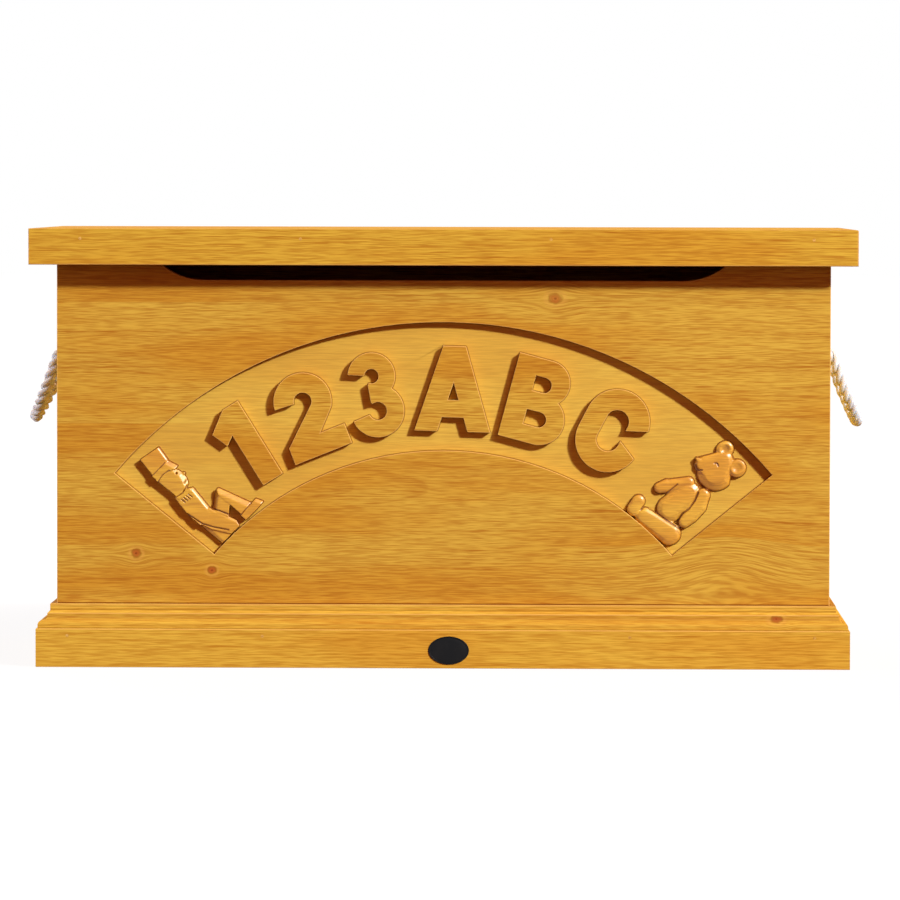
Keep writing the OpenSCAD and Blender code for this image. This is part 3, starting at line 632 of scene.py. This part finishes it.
def line_the_plinth(bm, stain_and_shade):
    """Painted shade in the joint where a panel goes down behind the plinth."""
    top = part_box("plinth_front")[1].z
    for height in (top + 0.4 * MM, top + 1.7 * MM):
        bmesh.ops.bisect_plane(bm, geom=[*bm.verts, *bm.edges, *bm.faces], plane_co=(0, 0, height), plane_no=(0, 0, 1))
    for face in bm.faces:
        for loop in face.loops:
            if loop.vert.co.z < top + 0.5 * MM:
                loop[stain_and_shade] = 1.0


def line_the_mouldings(bm, stain_and_shade, edge_wear_and_highlight):
    """Thin dark lines in the moulding's quirks, stain and painted shade, and bright lines beside them, wear and painted
    highlights; a broad painted shade also lies over the ogee and on the top face.
    """
    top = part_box("plinth_front")[1].z
    lines = [
        # layer, depth below the top in mm, half width in mm, amount; the 10 mm wide one is painted shade over the ogee
        (stain_and_shade, 2.9, 0.55, 0.5), (stain_and_shade, 6.3, 1.5, 0.38), (stain_and_shade, 15.0, 10.0, 0.46), (stain_and_shade, 26.0, 0.8, 0.42),
        (edge_wear_and_highlight, 1.5, 0.8, 0.9), (edge_wear_and_highlight, 4.1, 0.5, 0.6), (edge_wear_and_highlight, 27.6, 0.5, 0.9),
    ]
    # the top face is darkened: painted shade
    for face in bm.faces:
        if face.normal.z > 0.9 and face.calc_center_median().z > top - 0.1 * MM:
            for loop in face.loops:
                loop[stain_and_shade] = 0.6
    for layer, below, half, amount in lines:
        middle = top - below * MM
        for height in (middle - half * MM, middle, middle + half * MM):
            bmesh.ops.bisect_plane(
                bm, geom=[*bm.verts, *bm.edges, *bm.faces], plane_co=(0, 0, height), plane_no=(0, 0, 1), dist=1e-5,
            )
        for face in bm.faces:
            if face.normal.y < 0.5:
                for loop in face.loops:
                    away = abs(loop.vert.co.z - middle) / (half * MM)
                    loop[layer] = max(loop[layer], amount * max(0.0, 1 - away))


def line_the_ground(bm, stain_and_shade, sunk):
    """Marks the sunk ground and gives it a narrow dark border along every wall: stain and painted shade in the inner
    corner.
    """
    ground = [f for f in bm.faces if f.normal.y < -0.99 and abs(f.calc_center_median().y - GROUND_Y) < 0.2 * MM]
    ground = bmesh.ops.triangulate(bm, faces=ground)["faces"]
    border = bmesh.ops.inset_region(
        bm, faces=ground, thickness=1.3 * MM, depth=0, use_boundary=True, use_even_offset=True,
    )["faces"]
    inside = set(ground) | set(border)
    for face in inside:
        for loop in face.loops:
            loop[sunk] = 1.0
            if not inside.issuperset(loop.vert.link_faces):
                loop[stain_and_shade] = 1.0
                for other in loop.vert.link_loops:
                    if other.face not in inside:
                        other[stain_and_shade] = 0.7


def eased(node_name, finish, ease=0.9 * MM, steps=2, tight=5.5 * MM, where=None, least=0.0, carved=False):
    """A clean copy of a solid with its outer edges eased, standing for it."""
    bm = bmesh.new()
    bm.from_mesh(frame["nodes"][node_name].data)
    bmesh.ops.remove_doubles(bm, verts=bm.verts, dist=0.01 * MM)
    bmesh.ops.dissolve_degenerate(bm, dist=0.005 * MM, edges=bm.edges)
    bmesh.ops.dissolve_limit(
        bm, angle_limit=math.radians(0.6), use_dissolve_boundaries=False,
        verts=bm.verts, edges=bm.edges, delimit=set(),
    )
    sharp = {e for e in bm.edges if len(e.link_faces) == 2 and e.calc_face_angle(0) > math.radians(28)}
    outer = {e for e in sharp if e.calc_face_angle_signed(0) > 0}
    chosen = [e for e in outer if e.calc_length() > least and not turns_tightly(e, sharp, tight)]
    if where:
        chosen = [e for e in chosen if where((e.verts[0].co + e.verts[1].co) / 2)]
    stain_and_shade = bm.loops.layers.float.new("stain_and_painted_shade")
    sunk = bm.loops.layers.float.new("sunk_ground")
    edge_wear_and_highlight = bm.loops.layers.float.new("edge_wear_and_highlight")
    pool_stain_and_shade(bm, sharp - outer, stain_and_shade)
    if chosen:
        made = bmesh.ops.bevel(
            bm, geom=chosen, offset=ease, offset_type="OFFSET", segments=steps, profile=0.5,
            affect="EDGES", clamp_overlap=False, material=-1, loop_slide=True,
        )
        # eased faces are paler, wear and painted highlight, and carry no stain or painted shade
        for face in made["faces"]:
            for loop in face.loops:
                loop[edge_wear_and_highlight] = 1.0
                loop[stain_and_shade] = 0.0
    if node_name.endswith(("front_panel", "side_panel")):
        line_the_plinth(bm, stain_and_shade)
    if node_name.startswith("plinth"):
        line_the_mouldings(bm, stain_and_shade, edge_wear_and_highlight)
    if carved:
        line_the_ground(bm, stain_and_shade, sunk)
    smooth_but_sharp(bm, 38)
    piece = add_piece(node_name + "_eased", bm, finish)
    weighted = piece.modifiers.new("even shading", "WEIGHTED_NORMAL")
    weighted.keep_sharp = True
    weighted.weight = 80
    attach(piece, body_of(node_name))
    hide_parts(node_name)
    return piece


def front_edges(co):
    outside = abs(co.x) > HALF_W - 1 * MM or co.z > 0.42
    return outside or (co.y < GROUND_Y + 1 * MM and co.z > 0.09)


# ---------- carved figures ----------

def on_ground(side, inset, foot):
    """Place of a figure: its own X along the foot, Y up it and Z out of the sunk ground, 7 high."""
    turn = math.radians(-side * 49)
    across = Vector((math.cos(turn), 0, math.sin(turn)))
    up = Vector((-math.sin(turn), 0, math.cos(turn)))
    out = Vector((0, -1, 0))
    start = Vector((0, GROUND_Y, ARCH_Z)) + across * (-side * inset * MM) + up * (foot * MM)
    frame_at = Matrix((across, up, out)).transposed().to_4x4()
    return Matrix.Translation(start) @ frame_at @ Matrix.Diagonal((MM, MM, FIGURE_T / 7, 1))


def add_pad(bm, a, b, r, high, thin=1.0, r_end=None, fall=0.155):
    """Rounded form from a to b: an upright wall out of the ground, a sloping shoulder and a flatter top."""
    a, b = Vector((*a, 0)), Vector((*b, 0))
    form = bmesh.new()
    slope = fall * max(r, r_end or r)
    profile = [
        (0, -2), (1, -2), (1, max(0.4, high - slope - 2.2)), (0.92, max(0.9, high - slope - 0.7)),
        (0.57, high - 0.4), (0.3, high - 0.05), (0, high),
    ]
    verts = [form.verts.new((out, 0, up)) for out, up in profile]
    edges = [form.edges.new(pair) for pair in zip(verts, verts[1:])]
    bmesh.ops.spin(
        form, geom=[*verts, *edges], cent=(0, 0, 0), axis=(0, 0, 1), dvec=(0, 0, 0),
        angle=math.tau, steps=40, use_merge=True, use_duplicate=False,
    )
    bmesh.ops.remove_doubles(form, verts=form.verts, dist=0.001)
    bmesh.ops.scale(form, vec=(1, thin, 1), verts=form.verts)
    end = [v for v in form.verts if v.co.x > 0.001]
    near = [v for v in form.verts if v.co.x <= 0.001]
    r_end = r_end or r
    bmesh.ops.scale(form, vec=(r_end, r_end, 1), verts=end)
    bmesh.ops.scale(form, vec=(r, r, 1), verts=near)
    bmesh.ops.translate(form, vec=((b - a).length, 0, 0), verts=end)
    turn = math.atan2((b - a).y, (b - a).x) if (b - a).length > 0 else 0
    bmesh.ops.transform(form, matrix=Matrix.Translation(a) @ Matrix.Rotation(turn, 4, "Z"), verts=form.verts)
    join(bm, form)


def join(bm, form):
    """Puts a finished form in with the others."""
    bmesh.ops.recalc_face_normals(form, faces=form.faces)
    mesh = bpy.data.meshes.new("form")
    form.to_mesh(mesh)
    form.free()
    bm.from_mesh(mesh)
    bpy.data.meshes.remove(mesh)


def add_slab(bm, corners, high, soft=0.8, facets=()):
    """Flat form with a straight outline. Each facet (a, b, drop, slope) is a sloping cut along the line a-b."""
    form = bmesh.new()
    verts = [form.verts.new((x, y, -2)) for x, y in corners]
    grown = bmesh.ops.extrude_face_region(form, geom=[form.faces.new(verts)])["geom"]
    top = [g for g in grown if isinstance(g, bmesh.types.BMVert)]
    bmesh.ops.translate(form, vec=(0, 0, high + 2), verts=top)
    bmesh.ops.recalc_face_normals(form, faces=form.faces)
    middle = sum((v.co for v in top), Vector()) / len(top)
    for a, b, drop, slope in facets:
        a, b = Vector((*a, high - drop)), Vector((*b, high - drop))
        outward = (b - a).cross(Vector((0, 0, 1))).normalized()
        outward *= -1 if outward.dot(middle - a) > 0 else 1
        tilt = math.radians(slope)
        bmesh.ops.bisect_plane(
            form, geom=[*form.verts, *form.edges, *form.faces], plane_co=a,
            plane_no=outward * math.sin(tilt) + Vector((0, 0, math.cos(tilt))), clear_outer=True,
        )
        bmesh.ops.holes_fill(form, edges=[e for e in form.edges if e.is_boundary], sides=0)
    if soft:
        edges = [e for e in form.edges if e.calc_face_angle(0) > math.radians(20)]
        bmesh.ops.bevel(
            form, geom=edges, offset=soft, offset_type="OFFSET", segments=2, profile=0.5,
            affect="EDGES", clamp_overlap=True, material=-1,
        )
    join(bm, form)


def cut_groove(bm, stain_and_shade, points, width, depth):
    """Presses a soft groove, or a hollow where there is one point, into the upper side, and darkens it: stain and
    painted shade.
    """
    for vert in bm.verts:
        flat = Vector((vert.co.x, vert.co.y, 0))
        near = min(
            (flat - (a + (b - a) * min(1, max(0, (flat - a).dot(b - a) / max((b - a).length_squared, 1e-9))))).length
            for a, b in zip(points, points[1:] or points)
        )
        if near < width and vert.co.z > 1:
            deep = (1 - (near / width) ** 2) ** 2
            vert.co.z -= depth * deep
            vert[stain_and_shade] = max(vert[stain_and_shade], deep * min(1, 1.6 / width))


def carve(name, bm, place, node_name, finish, grooves=(), grain=0.65, rounds=4):
    """Joins the forms into one skin, softens the hollows between them and sets it on its ground."""
    rough = add_piece(name + "_forms", bm)
    skin = rough.modifiers.new("one skin", "REMESH")
    skin.mode = "VOXEL"
    skin.voxel_size = grain
    skin.use_smooth_shade = True
    ease = rough.modifiers.new("softened hollows", "SMOOTH")
    ease.factor = 0.5
    ease.iterations = rounds
    done = bpy.data.meshes.new_from_object(rough.evaluated_get(bpy.context.evaluated_depsgraph_get()))
    bpy.data.objects.remove(rough)
    bm = bmesh.new()
    bm.from_mesh(done)
    stain_and_shade = bm.verts.layers.float.new("stain_and_painted_shade")
    for width, depth, *points in grooves:
        cut_groove(bm, stain_and_shade, [Vector((x, y, 0)) for x, y in points], width, depth)
    bmesh.ops.bisect_plane(
        bm, geom=[*bm.verts, *bm.edges, *bm.faces], plane_co=(0, 0, -0.5), plane_no=(0, 0, 1), clear_inner=True,
    )
    bmesh.ops.holes_fill(bm, edges=[e for e in bm.edges if e.is_boundary], sides=0)
    bm.normal_update()
    # steep sides are darkened too, stain and painted shade that outline the forms
    for vert in bm.verts:
        vert[stain_and_shade] = max(vert[stain_and_shade], min(1, max(0, (0.80 - vert.normal.z) / 0.40)))
    foot = [v for v in bm.verts if v.co.z < 1.3 and v.normal.z > -0.5]
    for vert in foot:
        outward = Vector((vert.normal.x, vert.normal.y, 0)).normalized()
        vert.co += outward * 0.9 * (1 - max(0, vert.co.z) / 1.3) ** 2
    bmesh.ops.transform(bm, matrix=place, verts=bm.verts)
    bmesh.ops.recalc_face_normals(bm, faces=bm.faces)
    smooth_but_sharp(bm, 60)
    piece = add_piece(name, bm, finish)
    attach(piece, "carcass")
    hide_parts(node_name)
    return piece


def make_bear(finish):
    """Seated bear in profile, looking along the arch."""
    bm = bmesh.new()
    add_pad(bm, (4.8, 62), (4.6, 36), 14.2, 6.2, r_end=15.2)         # body
    add_pad(bm, (3.6, 113), (7.0, 100.5), 14.0, 7.0, r_end=20.8)     # head
    add_pad(bm, (2.4, 116.5), (-7.5, 99), 10.5, 6.8, r_end=9.0)      # brow
    add_pad(bm, (4, 98), (-9.0, 95.4), 17.4, 6.6, r_end=9.4)         # muzzle, narrowing to the nose
    add_pad(bm, (-8, 96), (-18.4, 94.8), 8.8, 6.2, r_end=1.8)
    add_pad(bm, (-5.8, 124.2), (-5.4, 126.0), 9.4, 5.6)              # ears
    add_pad(bm, (19.0, 120.8), (19.0, 122.0), 10.2, 6.6)
    add_pad(bm, (-4.0, 70.5), (-17.2, 49), 7.0, 5.4, r_end=7.8)      # far arm
    add_pad(bm, (-17.2, 50), (-20.6, 42.5), 7.8, 5.4, r_end=6.4)
    add_pad(bm, (17.2, 74), (23.0, 62), 7.8, 6.9, r_end=9.4)         # near arm
    add_pad(bm, (23.0, 62), (25.2, 48), 9.4, 6.9, r_end=8.8)
    add_pad(bm, (25.2, 48), (26.0, 38.4), 8.8, 6.9, r_end=6.8)
    add_pad(bm, (-8, 9.0), (24.6, 17.4), 10.4, 6.9, r_end=13.4, fall=0.135)      # leg
    add_pad(bm, (-24.6, 15.4), (-21.4, 5.4), 7.6, 6.9, r_end=8.0)    # foot
    grooves = [
        (6.2, 2.6, (-5.6, 124.8), (-5.2, 126.6)),                    # ear hollows
        (7.2, 2.4, (18.6, 121.6), (18.8, 123.6)),
        (1.3, 1.1, (-1.6, 106.4), (-0.4, 108), (1.6, 108.4), (3.6, 107.4)),     # eye
        (1.4, 1.5, (-13.5, 89.4), (-9.4, 87.4), (-6.6, 88.4), (-5.0, 90.8)),    # mouth
        (1.5, 1.5, (11.0, 71.5), (15.6, 62.5), (18.2, 52), (17.4, 42.5), (20.4, 33)),   # near arm's edge
        (1.3, 1.2, (-10.8, 60), (-11.2, 42)),                        # far arm's edge
        (1.5, 1.4, (-4, 78.4), (8, 79.6), (22, 82.6)),               # under the head
        (1.4, 1.3, (-15.8, 11), (-16.6, 18)),                        # ankle
        (1.4, 1.3, (-12, 19.4), (10, 24.6), (31, 30.4)),             # lap
    ]
    return carve("bear_relief", bm, on_ground(1, 45, 332), "bear_carving", finish, grooves)


def make_soldier(finish):
    """Seated toy soldier in profile, with a tall hat and one knee up, in flat facets."""
    bm = bmesh.new()
    add_slab(
        bm, [(-21.4, 136.7), (3.4, 130.4), (-0.6, 113), (-25.4, 114.6)], 6.8,                         # hat
        facets=[((3.4, 130.4), (-0.6, 113), 1.9, 37)],
    )
    add_slab(
        bm, [(-26, 115.2), (-1.6, 113.4), (1.6, 100.4), (-4, 100.6), (-10, 105), (-27, 105.2)], 7.8,  # band and peak
        facets=[((-1.6, 113.4), (1.6, 100.4), 2.8, 28)],
    )
    add_slab(
        bm, [(-26.6, 106), (-6, 106), (-1.6, 97), (-1.0, 91), (-2.4, 84.5), (-5.6, 79), (-12, 76.6), (-25.6, 79)], 7.0,  # face
        facets=[((-1.6, 98), (-1.0, 91), 3.0, 28), ((-1.0, 91), (-5.6, 79), 3.0, 28)],
    )
    add_pad(bm, (-1.4, 90.8), (-0.6, 90), 1.7, 5.0)                  # nose
    add_slab(
        bm, [(-28, 80), (-10, 76), (-5.4, 72.4), (-10.4, 43.6), (-11.4, 38), (-32.2, 38), (-32.2, 59)], 7.2,   # coat
        facets=[((-5.4, 72.4), (-10.4, 43.6), 2.7, 37)],
    )
    add_slab(
        bm, [(-32.2, 45), (-10.6, 44), (-8.4, 38.4), (-1.2, 12), (-4, 5), (-17, 6.5), (-27, 25)], 7.0,
        facets=[((-8.4, 38.4), (-1.2, 12), 1.5, 28)],
    )
    add_slab(
        bm, [(-31.6, 44), (-27.4, 34), (-15.6, 11.5), (-15, 6), (-31.4, 6.8)], 5.6,                   # coat tail
        facets=[((-31.4, 40), (-31.4, 6.8), 1.6, 24)],
    )
    add_slab(bm, [(-27.4, 80.2), (-8.6, 74.4), (-9.4, 71), (-26, 74.4)], 7.8, soft=0.6)            # epaulette
    add_slab(
        bm, [(-10, 34), (-8.8, 41), (8.4, 51.6), (9.6, 48), (7.4, 29.6), (-4.4, 21)], 6.8,           # thigh
        facets=[((-8.8, 41), (8.4, 51.6), 4.4, 42)],
    )
    add_slab(
        bm, [(6.7, 29.6), (5.6, 45), (9.4, 51.6), (12.6, 51.2), (24.2, 12), (6.6, 11)], 7.2,          # shin
        facets=[((12.6, 51.2), (24.2, 12), 3.2, 28)],
    )
    add_slab(
        bm, [(5.2, 12.6), (31.0, 12.2), (34.4, 3.0), (20, 3), (5.2, 4)], 6.0,                        # boot
        facets=[((31.0, 12.6), (34.6, 2.5), 2.6, 32)],
    )
    fringe = [(0.8, 1.3, (x, 73.4 - 0.22 * (x + 25)), (x + 0.4, 68.0 - 0.22 * (x + 25))) for x in (-24.4, -21.2, -18.0, -14.9)]
    grooves = fringe + [
        (1.5, 2.6, (-6.4, 96.3), (-5.8, 96.4)),                      # eye
        (1.0, 1.1, (-8.6, 82.6), (-5.2, 83.4)),                      # mouth
        (1.0, 1.0, (-26.6, 105.4), (-18, 106.8), (-9, 104.6)),       # lower rim of the band
        (1.0, 1.2, (-26, 114.8), (-6, 113.6)),                       # upper rim of the band
        (1.1, 1.4, (-27.6, 79.6), (-18.4, 77.0), (-8.6, 78.6)),      # collar
        (3.2, 0.5, (-6.4, 43.2), (6.4, 50.4)),                       # shaded top of the thigh
        (1.2, 1.6, (-32, 58), (-29.5, 38), (-24, 26), (-15.4, 11.6)),    # seam of the coat
        (1.2, 1.6, (-9.6, 40.6), (-6.4, 34), (-2.2, 22)),            # between coat and leg
        (1.0, 1.2, (6.8, 12.4), (23.4, 12.2)),                       # top of the boot
    ]
    return carve("soldier_relief", bm, on_ground(-1, 46, 330), "soldier_carving", finish, grooves, rounds=1)


# ---------- badge ----------

def make_badge(finish):
    """Blank oval badge with a raised rim and a low dome."""
    bm = bmesh.new()
    outline = [(0, 1.25), (5, 1.2), (10, 1.02), (13.4, 0.78), (13.7, 0.62), (14.1, 0.62), (14.5, 1.1), (15.1, 1.15), (15.5, 0.7), (15.5, 0)]
    verts = [bm.verts.new((r, 0, z)) for r, z in outline]
    edges = [bm.edges.new(pair) for pair in zip(verts, verts[1:])]
    bmesh.ops.spin(
        bm, geom=[*verts, *edges], cent=(0, 0, 0), axis=(0, 0, 1), dvec=(0, 0, 0),
        angle=math.tau, steps=72, use_merge=True, use_duplicate=False,
    )
    bmesh.ops.remove_doubles(bm, verts=bm.verts, dist=0.001)
    bmesh.ops.holes_fill(bm, edges=[e for e in bm.edges if e.is_boundary], sides=0)
    bmesh.ops.recalc_face_normals(bm, faces=bm.faces)
    place = (
        Matrix.Translation((7 * MM, PLINTH_Y, 20 * MM))
        @ Matrix.Rotation(math.radians(90), 4, "X")
        @ Matrix.Diagonal((45 / 31 * MM, MM, MM, 1))
    )
    bmesh.ops.transform(bm, matrix=place, verts=bm.verts)
    smooth_but_sharp(bm, 30)
    piece = add_piece("oval_badge", bm, finish)
    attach(piece, "carcass")
    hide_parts("badge")


# ---------- room and light ----------

def shown_rays(tree):
    """1 for the rays that see the background itself: camera, mirror-like and clear ones."""
    path = node(tree, "LightPath").outputs
    seen = maths(tree, "MAXIMUM", path["Is Camera Ray"], path["Is Glossy Ray"])
    return maths(tree, "MAXIMUM", seen, path["Is Transmission Ray"])


def make_room():
    """Pale floor that fades into a white surround, with the object's shadow kept on it."""
    bm = bmesh.new()
    bmesh.ops.create_grid(bm, x_segments=1, y_segments=1, size=30)
    floor_finish = bpy.data.materials.new("pale floor")
    floor_finish.use_nodes = True
    tree = floor_finish.node_tree
    tree.nodes.clear()
    matt = node(tree, "BsdfDiffuse", {"Color": mixed(tree, shown_rays(tree), (0.10, 0.04, 0.02), (0.10, 0.10, 0.10))})
    away = node(tree, "VectorMath", {0: node(tree, "TexCoord").outputs["Object"]}, operation="LENGTH").outputs["Value"]
    glow = maths(tree, "MULTIPLY", shown_rays(tree), spread(tree, away, 0.6, 1.6, 0.90, 1.0))
    glow = node(tree, "Emission", {"Color": (1, 1, 1, 1), "Strength": glow})
    both = node(tree, "AddShader", {0: matt.outputs[0], 1: glow.outputs[0]})
    tree.links.new(both.outputs[0], node(tree, "OutputMaterial").inputs["Surface"])
    floor = add_piece("floor", bm, floor_finish)

    world = bpy.data.worlds.new("studio")
    bpy.context.scene.world = world
    world.use_nodes = True
    tree = world.node_tree
    tree.nodes.clear()
    shown = shown_rays(tree)
    strength = spread(tree, shown, 0, 1, 0.23, 1.0, smooth=False)
    sky = node(tree, "Background", {"Color": mixed(tree, shown, (1.0, 0.13, 0.06), (1.0, 1.0, 1.0)), "Strength": strength})
    tree.links.new(sky.outputs[0], node(tree, "OutputWorld").inputs["Surface"])


def add_lamp(name, place, aim, size, power):
    data = bpy.data.lights.new(name, "AREA")
    data.shape = "SQUARE"
    data.size = size
    data.energy = power
    lamp = bpy.data.objects.new(name, data)
    lamp.location = place
    lamp.rotation_euler = (Vector(aim) - Vector(place)).to_track_quat("-Z", "Y").to_euler()
    bpy.context.scene.collection.objects.link(lamp)
    return lamp


def light_room():
    add_lamp("key", (8.75, -7.62, 6.95), (0, -0.2, 0.25), 1.15, 2080)
    add_lamp("high_fill", (1.9, -2.6, 3.6), (0, -0.2, 0.3), 0.5, 20)
    add_lamp("left_fill", (-4.0, -0.2, 1.2), (-0.45, 0, 0.3), 1.4, 110).visible_glossy = False
    add_lamp("right_fill", (4.0, 0.4, 1.0), (0.45, 0, 0.3), 1.4, 60).visible_glossy = False
    add_lamp("back_fill", (-1.5, 4.5, 2.4), (0, 0, 0.25), 2.0, 70)


# ---------- the box ----------

set_camera()
cotton = make_cotton()
make_ropes(cotton)

def across_ply(face, way):
    """Shift that puts the heart of the tree behind a face at the given place, way being the side it looks to."""
    return -(face - way * HEART)


front_grain = {"move": (0.3, across_ply(FRONT_Y, -1), -0.0665), "board": 0.135}
front_pine = pine(
    "honey pine, front", HONEY, rings=0.22, fibres=0.5, **front_grain,
    knots=[
        (-0.340, FRONT_Y, 0.125, 0.0044, 1.1, 1.0), (-0.256, FRONT_Y, 0.1065, 0.0039, 1.1, 1.0),
        (0.1235, FRONT_Y, 0.4085, 0.0052, 1.35, 0.8), (0.311, FRONT_Y, 0.080, 0.016, 1.2, 0.0),
    ],
)
carved_pine = pine(
    "honey pine, carved", CARVED, rings=0.2, fibres=0.35, gloss=0.45, **front_grain,
    **{"Coat Weight": 1.0, "Coat Roughness": 0.32},
)
back_pine = pine("honey pine, back", HONEY, move=(1.9, across_ply(0.22425, 1), -0.02), rings=0.22, fibres=0.5, board=0.14)
side_pines, plinth_side_pines, lipping_side_pines = {}, {}, {}
for way, word in ((-1, "left"), (1, "right")):
    side_pines[word] = pine(
        f"honey pine, {word} side", HONEY, turn=TO_DEPTH, rings=0.22, fibres=0.5, board=0.14,
        move=(0.7 + way, across_ply(way * HALF_W, way), -0.0665),
    )
    plinth_side_pines[word] = pine(
        f"honey pine, {word} plinth", PLINTH, turn=TO_DEPTH, rings=0.3, fibres=0.5,
        move=(3.1 + way, across_ply(way * 0.45, way), 0.04),
    )
    lipping_side_pines[word] = pine(
        f"honey pine, {word} lipping", GOLD, turn=TO_DEPTH, rings=0.3, fibres=0.5,
        move=(5.3 + way, across_ply(way * 0.457, way), -0.40),
    )
plinth_pine = pine(
    "honey pine, plinth", PLINTH, move=(2.6, across_ply(PLINTH_Y, -1), 0.04), rings=0.3, fibres=0.5,
    knots=[(0.369, PLINTH_Y, 0.055, 0.0036, 1.7, 1.0)],
)
lipping_pine = pine("honey pine, lipping", GOLD, move=(4.3, across_ply(LID_FRONT, -1), -0.40), rings=0.3, fibres=0.5)
lid_pine = pine("honey pine, lid", GOLD, turn=FLAT, move=(6.1, TOP - HEART, 0.03), rings=0.25, fibres=0.5, board=0.14)
bare = {"rings": 0.4, "fibres": 0.5, "gloss": 0.55, "shine": 0.25}
inner_pine = pine("bare pine, lengthwise", BARE, move=(8.2, 0.1, 0.1), **bare)
inner_side_pine = pine("bare pine, across", BARE, turn=TO_DEPTH, move=(9.4, 0.1, 0.1), **bare)
inner_upright_pine = pine("bare pine, upright", BARE, turn=UPRIGHT, move=(9.9, 0.1, 0.1), **bare)
floor_pine = pine("bare pine, floor", BARE, turn=FLAT, move=(11, 0.06, 0.02), board=0.15, **bare)
filler = make_filler()
enamel = make_enamel()
brass = make_metal("brass", (0.72, 0.47, 0.16), (0.42, 0.25, 0.09), 0.28)
zinc = make_metal("zinc steel", (0.62, 0.63, 0.64), (0.38, 0.37, 0.36), 0.34)

eased("front_panel", front_pine, where=front_edges, carved=True)
eased("back_panel", back_pine)
eased("plinth_front", plinth_pine, ease=0.6 * MM, least=50 * MM)
eased("lid_panel", lid_pine)
eased("lid_front_lipping", lipping_pine, ease=1.2 * MM)
for word in ("left", "right"):
    eased(word + "_side_panel", side_pines[word])
    eased("plinth_" + word, plinth_side_pines[word], ease=0.6 * MM, least=50 * MM)
    eased(f"lid_{word}_lipping", lipping_side_pines[word], ease=1.2 * MM)
eased("floor_board", floor_pine)
for name in ("front_floor_batten", "rear_floor_batten"):
    eased(name, inner_pine)
for name in ("left_floor_batten", "right_floor_batten"):
    eased(name, inner_side_pine)
for name in ("front_left", "front_right", "rear_left", "rear_right"):
    eased(name + "_corner_batten", inner_upright_pine)
for side in ("left", "right"):
    eased(side + "_hinge_lower_leaf", brass, ease=0.25 * MM, tight=2.5 * MM)
    eased(side + "_hinge_upper_leaf", brass, ease=0.25 * MM, tight=2.5 * MM)
    eased(side + "_hinge_pin", brass, ease=0.3 * MM, tight=0)
    eased(side + "_stay_arm", zinc, ease=0.25 * MM, tight=0)
    eased(side + "_stay_bracket", zinc, ease=0.25 * MM, tight=0)
    eased(side + "_stay_stud", zinc, ease=0.25 * MM, tight=0)
    eased(side + "_stay_rivet", zinc, ease=0.25 * MM, tight=0)

make_bear(carved_pine)
make_soldier(carved_pine)
make_badge(enamel)


def refinish(names, finish):
    """Puts a finish on solids that keep their own shape."""
    for name in names:
        mesh = frame["nodes"][name].data
        mesh.materials.clear()
        mesh.materials.append(finish)


refinish(["lipping_pin_fillers", "plinth_pin_fillers"], filler)
refinish(["hinge_lower_screws", "hinge_upper_screws"], brass)
refinish(
    ["corner_batten_screws", "floor_batten_screws", "floor_screws", "stay_stud_screws", "stay_bracket_screws",
     "lipping_pins", "plinth_pins"],
    zinc,
)

make_room()
light_room()
bpy.context.scene.view_settings.view_transform = "Standard"
